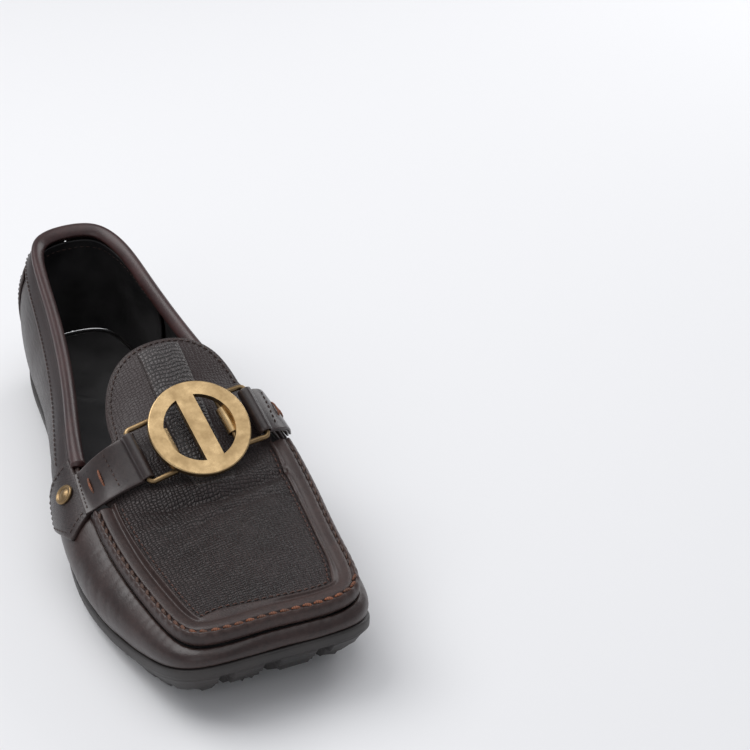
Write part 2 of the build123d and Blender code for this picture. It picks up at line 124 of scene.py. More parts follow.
BADGE_MIRROR = 24.95
BADGE_FACE = -2.0           # depth of its outer face
BADGE_STITCH_LINE = np.array([(6.38, 0.875), (6.5, 0.42), (7.0, 0.32), (7.72, 0.685), (7.5, 1.06)])
RIVET_PLACE = (6.95, 0.78)
RIVET_RADIUS = 4.6

# Sole: heights of the feather line, the rubber's top edge, and of the tread.
FEATHER_Z = 11.0
TOE_LIFT = 19.0
HEEL_LIFT = 6.0
FEATHER_FLAT = (-62, 88)    # it is level between these y
FEATHER_RUN = (85, 58)      # and lifts over these lengths at the toe and the heel
TREAD_TOE_LIFT = 18
TREAD_HEEL_LIFT = 3
TREAD_FLAT = (-90, 116)
TREAD_RUN = (58, 30)
CUP_DEPTH = 6.0
RIM = 3.0
SOLE_FLARE = 1.2
CHANNEL = 4.6               # depth of the line moulded round the sole
GROOVE = 3.0
GROOVE_DEPTH = 2.5
GROOVE_PITCH = 12.0         # of the grooves across the tread
CROSS_GROOVE_END = 126.0    # y of the first and last of them
LUG_NOTCH = 4.2             # depth of the cuts between the lugs at the toe and heel
SIDE_NOTCH = 2.2            # depth of a cross groove where it runs out at the side
LONG_GROOVES = (-22.0, -3.0, 19.0)


def blend(column, t):
    """Closed uniform cubic B-spline of a column of LAST at stations t."""
    t = np.asarray(t, float)
    i = np.floor(t).astype(int)
    f = t - i
    weights = (
        (1 - f) ** 3 / 6,
        (3 * f ** 3 - 6 * f ** 2 + 4) / 6,
        (-3 * f ** 3 + 3 * f ** 2 + 3 * f + 1) / 6,
        f ** 3 / 6,
    )
    return sum(w * LAST[(i - 1 + k) % STATIONS, column] for k, w in enumerate(weights))


def feather_z(y):
    toe = np.maximum(0.0, (FEATHER_FLAT[0] - y) / FEATHER_RUN[0]) ** 2
    heel = np.maximum(0.0, (y - FEATHER_FLAT[1]) / FEATHER_RUN[1]) ** 2
    return FEATHER_Z + TOE_LIFT * toe + HEEL_LIFT * heel


def tread_z(y):
    toe = np.maximum(0.0, (TREAD_FLAT[0] - y) / TREAD_RUN[0]) ** 2
    heel = np.maximum(0.0, (y - TREAD_FLAT[1]) / TREAD_RUN[1]) ** 2
    return TREAD_TOE_LIFT * toe + TREAD_HEEL_LIFT * heel


def place(t, inset, z):
    """Points at an inset from the feather line at stations t."""
    step = 1e-3
    x, y = blend(X, t), blend(Y, t)
    dx = blend(X, t + step) - blend(X, t - step)
    dy = blend(Y, t + step) - blend(Y, t - step)
    length = np.hypot(dx, dy)
    return np.stack(np.broadcast_arrays(x - dy / length * inset, y + dx / length * inset, z), -1)


def section_point(t, h, depth=0.0):
    """Inset and height on the wall's section: h from 0 at the feather line to 1 at the top."""
    low = feather_z(blend(Y, t))
    inset, top, bulge = blend(INSET, t), blend(TOP, t), blend(BULGE, t)

    def outer(k):
        turn = (1 - np.cos(WALL_ARC * k)) / (1 - math.cos(WALL_ARC))
        rise = np.sin(WALL_ARC * k) / math.sin(WALL_ARC)
        return inset * turn - bulge * np.sin(math.pi * k), low + (top - low) * rise

    a, z = outer(h)
    a0, z0 = outer(h - 0.01)
    a1, z1 = outer(h + 0.01)
    length = np.hypot(a1 - a0, z1 - z0)
    return a + depth * (z1 - z0) / length, z - depth * (a1 - a0) / length


def wall_point(t, h, depth=0.0):
    inset, z = section_point(t, h, depth)
    return place(t, inset, z)


def wall_height(t):
    a0, z0 = section_point(t, 0.0)
    a1, z1 = section_point(t, 1.0)
    return np.hypot(a1 - a0, z1 - z0)


def near_edge(t, depth, rise):
    return wall_point(t, 1 + rise / wall_height(t), depth)


def above_edge(t, inset, rise):
    edge, z = section_point(t, 1.0)
    return place(t, edge + inset, z + rise)


def smooth_rows(table, y):
    """Catmull-Rom through the rows of a table whose first column is y."""
    rows = table[:, 0]
    i = np.clip(np.searchsorted(rows, y) - 1, 0, len(rows) - 2)
    f = ((y - rows[i]) / (rows[i + 1] - rows[i]))[..., None]
    before, after = np.maximum(i - 1, 0), np.minimum(i + 2, len(rows) - 1)
    p0, p1, p2, p3 = table[before], table[i], table[i + 1], table[after]
    gap = (rows[i + 1] - rows[i])[..., None]
    m1 = (p2 - p0) / (rows[i + 1] - rows[before])[..., None] * gap
    m2 = (p3 - p1) / (rows[after] - rows[i])[..., None] * gap
    f2, f3 = f * f, f * f * f
    return (2 * f3 - 3 * f2 + 1) * p1 + (f3 - 2 * f2 + f) * m1 + (3 * f2 - 2 * f3) * p2 + (f3 - f2) * m2


def instep_z(x, y):
    """Height of the arched instep."""
    row = smooth_rows(INSTEP, np.clip(np.asarray(y, float), -152, 18))
    xl, zl, zr, xm, zm = (row[..., k] for k in range(1, 6))
    k = (x - (xl + xm) / 2) / ((xm - xl) / 2)
    return zl + (zm - zl) * (k + 1) / 2 + (zr - (zl + zm) / 2) * (1 - k * k)


# Folds in the instep ahead of the buckle: line in plan, height, half width.
FOLDS = [
    ([(-30, -46), (-14, -55), (4, -60), (24, -57), (44, -49)], 2.0, 4.0),
    ([(-27, -58), (-14, -64), (9, -67), (30, -63), (46, -57)], -1.9, 1.8),
    ([(-30, -71), (-8, -74), (14, -72), (34, -66)], 0.6, 2.6),
    ([(-27, -82), (-6, -78), (16, -74), (34, -70)], -0.9, 1.5),
    ([(-28, -95), (-6, -88), (20, -79)], -0.5, 1.6),
    ([(-16, -108), (10, -101), (36, -99)], -0.4, 2.4),
    ([(14, -66), (30, -72), (42, -76)], -0.45, 1.8),
    ([(-32, -60), (-27, -74), (-20, -90)], 0.5, 3.0),
]


def polyline_reach(x, y, line):
    """Distance to a line, and how far along it from 0 to 1."""
    best = np.full(x.shape, 1e9)
    along = np.zeros(x.shape)
    spans = len(line) - 1
    for k, ((ax, ay), (bx, by)) in enumerate(zip(line, line[1:])):
        dx, dy = bx - ax, by - ay
        f = np.clip(((x - ax) * dx + (y - ay) * dy) / (dx * dx + dy * dy), 0, 1)
        distance = np.hypot(x - ax - f * dx, y - ay - f * dy)
        closer = distance < best
        best = np.where(closer, distance, best)
        along = np.where(closer, (k + f) / spans, along)
    return best, along


def ripple(x, y, size):
    """Smooth uneven field from -1 to 1, with features about size across."""
    x, y = x / size, y / size
    return (np.sin(1.3 * x + 0.7 * y + 0.4) + np.sin(-0.8 * x + 1.6 * y + 2.1)
            + np.sin(2.3 * x + 1.9 * y + 4.0) * 0.5 + np.sin(2.9 * x - 2.2 * y + 1.0) * 0.5) / 3


def worn_instep_z(x, y):
    """The instep with its folds, creases and slight unevenness."""
    z = instep_z(x, y)
    for line, height, width in FOLDS:
        distance, along = polyline_reach(x, y, line)
        fade = np.sin(math.pi * np.clip(along, 0.02, 0.98)) ** 0.6
        z = z + height * fade * np.exp(-(distance / width) ** 2)
    return z + 0.22 * ripple(x, y, 7.0)


# ---------------------------------------------------------------- meshes
def lengths(points, axis):
    """Running length along an axis of a grid of points."""
    span = np.linalg.norm(np.diff(points, axis=axis), axis=-1)
    start = np.zeros_like(np.take(span, [0], axis=axis))
    return np.concatenate([start, np.cumsum(span, axis=axis)], axis=axis)


def running(line):
    """Running length along a line of points."""
    return np.concatenate([[0], np.cumsum(np.linalg.norm(np.diff(line, axis=0), axis=1))])


def sampled(line, run, spots):
    """Points at the lengths spots along a line whose running length is run."""
    return np.stack([np.interp(spots, run, line[:, k]) for k in range(line.shape[1])], -1)


def catmull_rom(a, b, c, d, f):
    """Smooth curve from b to c as f goes from 0 to 1."""
    return 0.5 * (2 * b + (c - a) * f + (2 * a - 5 * b + 4 * c - d) * f ** 2
                  + (3 * b - a - 3 * c + d) * f ** 3)


def edged(start, stop, length, pitch, radius):
    """Parameters from start to stop, closer together near both ends."""
    near = [0, 0.06, 0.2, 0.45, 0.75, 1.0]
    ends = [radius * k for k in near]
    count = max(3, round((length - 2 * radius) / pitch))
    inner = list(np.linspace(radius, length - radius, count + 1))[1:-1]
    spots = ends + inner + [length - e for e in reversed(ends)]
    return np.array([start + (stop - start) * s / length for s in spots])


def round_off(near, thickness, radius):
    """How far a sheet's face drops towards its middle within radius of its edge."""
    k = 1 - np.clip(near / radius, 0, 1)
    return thickness / 2 * (1 - np.sqrt(np.maximum(0, 1 - k * k)))


def add_piece(name, points, faces, material, uvs, edge=None, slot=None, nodes=()):
    """A closed mesh piece that rides on the shoe and stands for CAD nodes."""
    mesh = bpy.data.meshes.new(name)
    mesh.from_pydata((np.asarray(points) * MM).tolist(), [], faces)
    layer = mesh.uv_layers.new(name="surface")
    index = np.empty(len(mesh.loops), np.int32)
    mesh.loops.foreach_get("vertex_index", index)
    layer.data.foreach_set("uv", np.asarray(uvs, np.float32)[index].ravel())
    values = np.zeros(len(points)) if edge is None else edge
    attribute = mesh.attributes.new("edge", "FLOAT", "POINT")
    attribute.data.foreach_set("value", np.asarray(values, np.float32))
    shape = bmesh.new()
    shape.from_mesh(mesh)
    bmesh.ops.recalc_face_normals(shape, faces=shape.faces)
    for face in shape.faces:
        face.smooth = True
    shape.to_mesh(mesh)
    shape.free()
    piece = bpy.data.objects.new(name, mesh)
    bpy.context.collection.objects.link(piece)
    piece.data.materials.append(material)
    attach(piece, "shoe")
    if nodes:
        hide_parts(*nodes)
    return piece


def pillow(name, us, vs, locate, depth, thickness, material, radius=None, **facts):
    """A sheet over a grid, rounded off all round its edge. locate(u, v, depth) gives points."""
    radius = radius or thickness / 2
    u, v = np.meshgrid(us, vs, indexing="ij")
    middle = locate(u, v, depth + thickness / 2)
    along_u, along_v = lengths(middle, 0), lengths(middle, 1)
    near = np.minimum(np.minimum(along_u, along_u[-1:] - along_u),
                      np.minimum(along_v, along_v[:, -1:] - along_v))
    drop = round_off(near, thickness, radius)
    outer = locate(u, v, depth + drop).reshape(-1, 3)
    inner = locate(u, v, depth + thickness - drop)
    rows, columns = u.shape
    top = np.arange(rows * columns).reshape(rows, columns)
    below = top.copy()
    below[1:-1, 1:-1] = rows * columns + np.arange((rows - 2) * (columns - 2)).reshape(
        rows - 2, columns - 2)
    faces = []
    for ids in (top, below):
        quads = np.stack([ids[:-1, :-1], ids[1:, :-1], ids[1:, 1:], ids[:-1, 1:]], -1)
        faces += quads.reshape(-1, 4).tolist()
    points = np.concatenate([outer, inner[1:-1, 1:-1].reshape(-1, 3)])
    uv = np.stack([along_u, along_v], -1)
    uvs = np.concatenate([uv.reshape(-1, 2), uv[1:-1, 1:-1].reshape(-1, 2)])
    # weight for the leather's lighter edge colour: partly rubbing wear, partly a painted highlight on the
    # rounded rims
    edge_wear_and_highlight = np.exp(-near / 1.1)
    edge = np.concatenate([edge_wear_and_highlight.ravel(), edge_wear_and_highlight[1:-1, 1:-1].ravel()])
    return add_piece(name, points, faces, material, uvs, edge, **facts)


def inside(points, border):
    """Which points lie in a closed border."""
    x, y = points[:, 0:1], points[:, 1:2]
    ax, ay = border[:, 0], border[:, 1]
    bx, by = np.roll(ax, -1), np.roll(ay, -1)
    crosses = (ay > y) != (by > y)
    meets = ax + (y - ay) * (bx - ax) / np.where(by == ay, 1e-9, by - ay)
    return (crosses & (x < meets)).sum(1) % 2 == 1


def border_reach(points, border):
    """Distance from points to a closed border."""
    reach = np.full(len(points), 1e9)
    for a, b in zip(border, np.roll(border, -1, axis=0)):
        d = b - a
        f = np.clip(((points - a) @ d) / (d @ d), 0, 1)
        reach = np.minimum(reach, np.linalg.norm(points - a - f[:, None] * d, axis=1))
    return reach


def inward(border, distance):
    """The border moved inwards."""
    tangent = np.roll(border, -1, axis=0) - np.roll(border, 1, axis=0)
    tangent /= np.linalg.norm(tangent, axis=1)[:, None]
    normal = np.stack([-tangent[:, 1], tangent[:, 0]], 1)
    area = np.sum(border[:, 0] * np.roll(border[:, 1], -1) - border[:, 1] * np.roll(border[:, 0], -1))
    return border + normal * distance * math.copysign(1, area)


def fill(border, extra, pitch, margin, xs=None, ys=None):
    """Triangles over a border, with the extra points and a grid of points inside it."""
    low, high = border.min(0), border.max(0)
    xs = np.arange(low[0], high[0], pitch) if xs is None else xs
    ys = np.arange(low[1], high[1], pitch) if ys is None else ys
    spots = np.stack(np.meshgrid(xs, ys), -1).reshape(-1, 2)
    spots = spots[inside(spots, border)]
    spots = spots[border_reach(spots, border) > margin]
    points = np.concatenate([border, *extra, spots])
    loop = list(range(len(border)))
    found = delaunay_2d_cdt([Vector(p) for p in points.tolist()], [], [loop], 1, 1e-7)
    return np.array([tuple(p) for p in found[0]]), [tuple(f) for f in found[2]]


def cut_sheet(name, border, top, thickness, pitch, material, radius=None, **facts):
    """A sheet cut to a border in plan, lying under the surface top(x, y)."""
    radius = radius or thickness / 2
    rings = [inward(border, radius * k) for k in (0.06, 0.2, 0.45, 0.75, 1.0)]
    flat, triangles = fill(border, rings, pitch, radius + 0.5 * pitch)
    near = border_reach(flat, border)
    on_border = near < 1e-4
    drop = round_off(near, thickness, radius)
    height = top(flat[:, 0], flat[:, 1])
    upper = np.column_stack([flat, height - drop])
    lower = np.column_stack([flat, height - thickness + drop])[~on_border]
    below = np.arange(len(flat))
    below[~on_border] = len(flat) + np.arange((~on_border).sum())
    faces = triangles + [tuple(below[k] for k in reversed(f)) for f in triangles]
    uvs = np.concatenate([flat, flat[~on_border]])
    # weight for the leather's lighter edge colour: partly rubbing wear, partly a painted highlight on the
    # rounded rims
    edge_wear_and_highlight = np.exp(-near / 1.1)
    edge = np.concatenate([edge_wear_and_highlight, edge_wear_and_highlight[~on_border]])
    return add_piece(name, np.concatenate([upper, lower]), faces, material, uvs, edge, **facts)


def loop_curve(points, count):
    """Smooth closed curve through points: periodic Catmull-Rom. points is (..., n, 3)."""
    n = points.shape[-2]
    s = np.linspace(0, n, count, endpoint=False)
    i = np.floor(s).astype(int)
    return catmull_rom(*(points[..., (i + k) % n, :] for k in (-1, 0, 1, 2)), (s - i)[:, None])


def tube(name, rings, material, edge=None, **facts):
    """A capped mesh through closed rings of points, (along, around, 3)."""
    rows, columns = rings.shape[:2]
    ids = np.arange(rows * columns).reshape(rows, columns)
    here, ahead = ids[:-1], ids[1:]
    quads = np.stack([here, ahead, np.roll(ahead, -1, axis=1), np.roll(here, -1, axis=1)], -1)
    faces = quads.reshape(-1, 4).tolist()
    faces += [ids[0].tolist(), ids[-1][::-1].tolist()]
    uv = np.stack([lengths(rings, 0), lengths(rings, 1)], -1).reshape(-1, 2)
    return add_piece(name, rings.reshape(-1, 3), faces, material, uv,
                     None if edge is None else edge.ravel(), **facts)


def even(line, pitch):
    """Points and directions spaced evenly by length along a line of points, and their lengths."""
    run = running(line)
    spots = np.arange(pitch / 2, run[-1] - pitch / 2, pitch)
    tangent = sampled(line, run, spots + 0.4) - sampled(line, run, spots - 0.4)
    return sampled(line, run, spots), tangent / np.linalg.norm(tangent, axis=1)[:, None], spots


STITCH_ROWS = 11
STITCH_COLUMNS = 8


def stitch_rings(spot, heading, normal, length, radius, sink, twist):
    """Rings of points along one bowed thread, whose ends go into the leather."""
    across = np.cross(heading, normal)
    turns = [2 * math.pi * c / STITCH_COLUMNS for c in range(STITCH_COLUMNS)]
    rings = []
    for row in range(STITCH_ROWS):
        f = row / (STITCH_ROWS - 1)
        bow = math.sin(math.pi * f)
        rise = bow ** 0.6 * (1 + sink) - sink
        middle = spot + heading * (f - 0.5) * length + normal * radius * rise
        girth = radius * (0.45 + 0.55 * bow ** 0.5) * (1 + twist * math.sin(9 * math.pi * f))
        rings.append([middle + (across * math.cos(a) + normal * math.sin(a) * 0.8) * girth for a in turns])
    return rings


def stitch_faces(first):
    """Faces of one stitch whose points are numbered from first."""
    faces = []
    for row in range(STITCH_ROWS - 1):
        here = first + row * STITCH_COLUMNS
        ahead = here + STITCH_COLUMNS
        for c in range(STITCH_COLUMNS):
            d = (c + 1) % STITCH_COLUMNS
            faces.append((here + c, here + d, ahead + d, ahead + c))
    last = first + (STITCH_ROWS - 1) * STITCH_COLUMNS
    faces.append(tuple(first + c for c in range(STITCH_COLUMNS)))
    faces.append(tuple(last + c for c in reversed(range(STITCH_COLUMNS))))
    return faces


def stitches(name, lines, length, radius, material, pitch, slant=0.0, sink=0.35, tone=None,
             twist=0.0, **facts):
    """Rows of stitches. lines are pairs of a line of points and its outward normals."""
    points, faces, uvs, tones = [], [], [], []
    for line, out in lines:
        run = running(line)
        for k, (spot, tangent, s) in enumerate(zip(*even(line, pitch))):
            normal = sampled(out, run, s)
            normal -= tangent * (normal @ tangent)
            normal /= np.linalg.norm(normal)
            side = np.cross(tangent, normal)
            wander = 0.12 * math.sin(12.9 * k + 3.1 * len(points))
            heading = tangent * math.cos(slant + wander) + side * math.sin(slant + wander)
            faces += stitch_faces(len(points) * STITCH_COLUMNS)
            points += stitch_rings(spot, heading, normal, length, radius, sink, twist)
            for row in range(STITCH_ROWS):
                run_up = row / (STITCH_ROWS - 1) * length
                uvs += [(c / STITCH_COLUMNS, run_up) for c in range(STITCH_COLUMNS)]
            tones += [1.0 if tone is None else tone(spot)] * (STITCH_ROWS * STITCH_COLUMNS)
    flat = np.array(points).reshape(-1, 3)
    return add_piece(name, flat, faces, material, np.array(uvs), np.array(tones), **facts)


# ---------------------------------------------------------------- materials
def new_node(tree, kind, settings=(), **inputs):
    """A shader node with its settings and inputs; an input is a value or another socket."""
    made = tree.nodes.new("ShaderNode" + kind)
    for key, value in dict(settings).items():
        setattr(made, key, value)
    for key, value in inputs.items():
        spot = made.inputs[int(key[1:])] if key[0] == "i" and key[1:].isdigit() else made.inputs[key]
        if isinstance(value, bpy.types.NodeSocket):
            tree.links.new(value, spot)
        else:
            spot.default_value = value
    return made


def calc(tree, operation, a, b=0.0, clamp=False):
    return new_node(tree, "Math", {"operation": operation, "use_clamp": clamp}, i0=a, i1=b).outputs[0]


def spread(tree, value, low, high, to_low=0.0, to_high=1.0):
    """A value from low to high spread over another range, and held within it."""
    return new_node(tree, "MapRange", {"clamp": True}, **{
        "Value": value, "From Min": low, "From Max": high, "To Min": to_low, "To Max": to_high,
    }).outputs[0]


def tint(tree, amount, a, b, how="MIX"):
    made = new_node(tree, "Mix", {"data_type": "RGBA", "blend_type": how}, i0=amount, i6=a, i7=b)
    return made.outputs[2]


def tint_value(tree, amount, a, b):
    """Value between a and b by an amount from 0 to 1."""
    return calc(tree, "ADD", calc(tree, "MULTIPLY", a, calc(tree, "SUBTRACT", 1.0, amount)),
                calc(tree, "MULTIPLY", amount, b))


def rgb(red, green, blue):
    return (red, green, blue, 1.0)


def noise(tree, scale, detail, rough, vector):
    return new_node(tree, "TexNoise", Scale=scale, Detail=detail, Roughness=rough, Vector=vector)


def start_material(name):
    material = bpy.data.materials.new(name)
    material.use_nodes = True
    tree = material.node_tree
    return material, tree, tree.nodes["Principled BSDF"]


def join_surface(tree, bsdf, colour, rough, height, strength, depth):
    """Joins a colour, a roughness and a bump to the shader; depth is in millimetres."""
    tree.links.new(colour, bsdf.inputs["Base Color"])
    if isinstance(rough, float):
        bsdf.inputs["Roughness"].default_value = rough
    else:
        tree.links.new(rough, bsdf.inputs["Roughness"])
    bump = new_node(tree, "Bump", Strength=strength, Distance=depth * MM, Height=height)
    tree.links.new(bump.outputs[0], bsdf.inputs["Normal"])


def shaken(tree, uv, vector, scale, detail, reach):
    """A vector moved about by noise, by up to half of reach each way."""
    sway = noise(tree, scale, detail, 0.5, uv).outputs["Color"]
    middle = (0.5, 0.5, 0.5)
    sway = new_node(tree, "VectorMath", {"operation": "SUBTRACT"}, i0=sway, i1=middle).outputs[0]
    sway = new_node(tree, "VectorMath", {"operation": "SCALE"}, i0=sway, Scale=reach).outputs[0]
    return new_node(tree, "VectorMath", {"operation": "ADD"}, i0=vector, i1=sway).outputs[0]


def ridges(tree, value, pitch):
    """Rounded ridges with fine lines between them, from 0 to 1."""
    wave = calc(tree, "SINE", calc(tree, "MULTIPLY", value, math.pi / pitch))
    return calc(tree, "POWER", calc(tree, "ABSOLUTE", wave), 0.55)


def embossed(tree, line_pitch, cross_pitch, cross_share):
    """Height of an embossed grain: raised cells between fine lines, from 0 to 1. The pitches are
    in millimetres, across and along the sheet."""
    uv = new_node(tree, "UVMap", {"uv_map": "surface"}).outputs[0]
    bent = shaken(tree, uv, uv, 0.16, 2.0, 3.4)
    bent = shaken(tree, uv, bent, 1.1, 1.0, 0.9)
    parts = new_node(tree, "SeparateXYZ", i0=bent)
    across = ridges(tree, parts.outputs[0], line_pitch)
    along = ridges(tree, parts.outputs[1], cross_pitch)
    patches = noise(tree, 0.055, 2.0, 0.5, uv).outputs["Fac"]
    share = spread(tree, patches, 0.42, 0.6, cross_share, min(1.0, cross_share + 0.5))
    softened = calc(tree, "ADD", calc(tree, "MULTIPLY", along, share), calc(tree, "SUBTRACT", 1.0, share))
    return calc(tree, "MINIMUM", across, softened)


SMOOTH_FADE = 0.012         # metres over which a grain gives way to smooth leather
SMOOTH_COLOUR = (0.021, 0.0115, 0.0108)


def leather(name, dark, light, edge_wear_and_highlight, rough, grain=None, grain_depth=0.16, coat=0.08, pores=0.05,
            spec=0.42, smooth_behind=None):
    """Dyed leather: mottled colour, edges lighter partly from rubbing wear and partly as a painted
    highlight, pores, and an embossed grain if it has one, with painted shade in its lines and a painted
    highlight on its cells, which may give way to smooth leather behind a y in metres."""
    material, tree, bsdf = start_material(name)
    spot = new_node(tree, "TexCoord").outputs["Object"]
    broad = noise(tree, 42.0, 4.0, 0.6, spot).outputs["Fac"]
    fine = noise(tree, 620.0, 3.0, 0.6, spot).outputs["Fac"]
    colour = tint(tree, spread(tree, broad, 0.34, 0.68), rgb(*dark), rgb(*light))
    speck = tint(tree, spread(tree, fine, 0.35, 0.7), rgb(0.72, 0.72, 0.72), rgb(1.22, 1.2, 1.2))
    colour = tint(tree, 0.8, colour, speck, "MULTIPLY")
    pore = new_node(tree, "TexVoronoi", {"feature": "F1"}, Vector=spot, Scale=1500.0).outputs["Distance"]
    pore = spread(tree, pore, 0.0, 0.55)
    height = calc(tree, "MULTIPLY", pore, pores)
    height = calc(tree, "ADD", height, calc(tree, "MULTIPLY", fine, pores * 0.8))
    shine = spread(tree, broad, 0.3, 0.7, rough - 0.06, rough + 0.08)
    if grain:
        cells = embossed(tree, *grain)
        if smooth_behind is not None:
            back = new_node(tree, "SeparateXYZ", i0=spot).outputs[1]
            plain = spread(tree, back, smooth_behind - SMOOTH_FADE, smooth_behind, 0.0, 0.72)
            cells = tint_value(tree, plain, cells, 0.8)
            colour = tint(tree, calc(tree, "MULTIPLY", plain, 0.9), colour, rgb(*SMOOTH_COLOUR))
        height = calc(tree, "ADD", height, calc(tree, "MULTIPLY", cells, grain_depth))
        # painted shade in the grain's lines and a painted highlight on its cell tops, blended by the cells'
        # height
        painted_groove_shade = tint(tree, 1.0, colour, rgb(0.36, 0.34, 0.34), "MULTIPLY")
        raised = tint(tree, 1.0, colour, rgb(1.45, 1.42, 1.45), "MULTIPLY")
        colour = tint(tree, spread(tree, cells, 0.25, 0.95), painted_groove_shade, raised)
        shine = calc(tree, "ADD", shine, spread(tree, cells, 0.2, 1.0, 0.12, -0.02))
    edge = new_node(tree, "Attribute", {"attribute_name": "edge"}).outputs["Fac"]
    # lighter colour at the edges: partly rubbing wear, partly a painted highlight on the rounded rims
    edge_wear_and_highlight_mask = calc(tree, "MULTIPLY", edge, spread(tree, fine, 0.3, 0.7, 0.35, 1.0), True)
    colour = tint(tree, edge_wear_and_highlight_mask, colour, rgb(*edge_wear_and_highlight))
    join_surface(tree, bsdf, colour, shine, height, 1.0, 1.0)
    bsdf.inputs["Specular IOR Level"].default_value = spec
    bsdf.inputs["Coat Weight"].default_value = coat
    bsdf.inputs["Coat Roughness"].default_value = 0.3
    return material


def lining_material(name, colour, rough):
    """Matt lining with a fine nap."""
    material, tree, bsdf = start_material(name)
    spot = new_node(tree, "TexCoord").outputs["Object"]
    broad = noise(tree, 55.0, 4.0, 0.6, spot).outputs["Fac"]
    fine = noise(tree, 1900.0, 2.0, 0.6, spot).outputs["Fac"]
    dark = tuple(0.6 * c for c in colour)
    light = tuple(1.7 * c for c in colour)
    mixed = tint(tree, spread(tree, broad, 0.35, 0.7), rgb(*dark), rgb(*light))
    shine = spread(tree, broad, 0.3, 0.7, rough - 0.12, rough + 0.08)
    join_surface(tree, bsdf, mixed, shine, fine, 0.6, 0.1)
    return material


def thread_material(name, pale_colour, dark_colour):
    """Twisted waxed thread; the piece's edge value sets its colour between the dark and the pale one."""
    material, tree, bsdf = start_material(name)
    uv = new_node(tree, "UVMap", {"uv_map": "surface"}).outputs[0]
    parts = new_node(tree, "SeparateXYZ", i0=uv)
    turns = calc(tree, "ADD", parts.outputs[0], calc(tree, "MULTIPLY", parts.outputs[1], 1.1))
    twist = calc(tree, "ABSOLUTE", calc(tree, "SINE", calc(tree, "MULTIPLY", turns, math.pi)))
    spot = new_node(tree, "TexCoord").outputs["Object"]
    grime = noise(tree, 260.0, 3.0, 0.6, spot).outputs["Fac"]
    tone = new_node(tree, "Attribute", {"attribute_name": "edge"}).outputs["Fac"]
    amount = calc(tree, "MULTIPLY", tone, spread(tree, grime, 0.36, 0.6, 0.25, 1.0), True)
    colour = tint(tree, amount, rgb(*dark_colour), rgb(*pale_colour))
    # painted shade between the thread's strands and a painted highlight on their crests
    strands = tint(tree, twist, rgb(0.55, 0.55, 0.55), rgb(1.15, 1.15, 1.15))
    colour = tint(tree, 1.0, colour, strands, "MULTIPLY")
    join_surface(tree, bsdf, colour, 0.62, twist, 0.8, 0.12)
    return material


def rubber_material():
    """Moulded black-brown rubber, dusty and scuffed low down."""
    material, tree, bsdf = start_material("rubber")
    spot = new_node(tree, "TexCoord").outputs["Object"]
    broad = noise(tree, 60.0, 4.0, 0.6, spot).outputs["Fac"]
    fine = noise(tree, 1400.0, 3.0, 0.6, spot).outputs["Fac"]
    black, brown, dust = rgb(0.018, 0.0155, 0.0148), rgb(0.036, 0.031, 0.0295), rgb(0.10, 0.088, 0.08)
    colour = tint(tree, spread(tree, broad, 0.35, 0.7), black, brown)
    height = new_node(tree, "SeparateXYZ", i0=spot).outputs[2]
    near_floor = spread(tree, height, 0.006, 0.0, 0.0, 1.0)
    scuffed = calc(tree, "MULTIPLY", near_floor, spread(tree, fine, 0.4, 0.7), True)
    colour = tint(tree, calc(tree, "MULTIPLY", scuffed, 0.55), colour, dust)
    join_surface(tree, bsdf, colour, spread(tree, broad, 0.3, 0.7, 0.42, 0.6), fine, 0.5, 0.12)
    return material


def brass_material(name, bright, dull, rough):
    """Satin antique brass: fine brushing, tarnish in patches."""
    material, tree, bsdf = start_material(name)
    spot = new_node(tree, "TexCoord").outputs["Object"]
    patches = noise(tree, 150.0, 5.0, 0.65, spot).outputs["Fac"]
    fine = noise(tree, 2200.0, 3.0, 0.6, spot).outputs["Fac"]
    colour = tint(tree, spread(tree, patches, 0.38, 0.68), rgb(*dull), rgb(*bright))
    shine = calc(tree, "ADD", spread(tree, patches, 0.35, 0.7, rough + 0.1, rough - 0.04),
                 spread(tree, fine, 0.3, 0.7, -0.04, 0.06))
    join_surface(tree, bsdf, colour, shine, fine, 0.35, 0.03)
    bsdf.inputs["Metallic"].default_value = 1.0
    return material


def plain_material(name, dark, light, rough, scale, depth):
    """Board or foam: a speckled matt material."""
    material, tree, bsdf = start_material(name)
    spot = new_node(tree, "TexCoord").outputs["Object"]
    speck = noise(tree, scale, 4.0, 0.65, spot).outputs["Fac"]
    colour = tint(tree, spread(tree, speck, 0.3, 0.7), rgb(*dark), rgb(*light))
    shine = spread(tree, speck, 0.3, 0.7, rough, rough + 0.1)
    join_surface(tree, bsdf, colour, shine, speck, 0.6, depth)
    return material


# the edge colour is lighter than the leather: partly rubbing wear, partly a painted highlight
GRAIN = {"dark": (0.0155, 0.0105, 0.010), "light": (0.027, 0.0185, 0.0175),
         "edge_wear_and_highlight": (0.046, 0.031, 0.028), "rough": 0.38}
plug_leather = leather("plug_leather", grain=(1.6, 1.25, 0.85), grain_depth=0.42,
                       smooth_behind=-0.036, spec=0.32, coat=0.03, **GRAIN)
quarter_leather = leather("quarter_leather", grain=(1.15, 2.6, 0.35), **GRAIN)
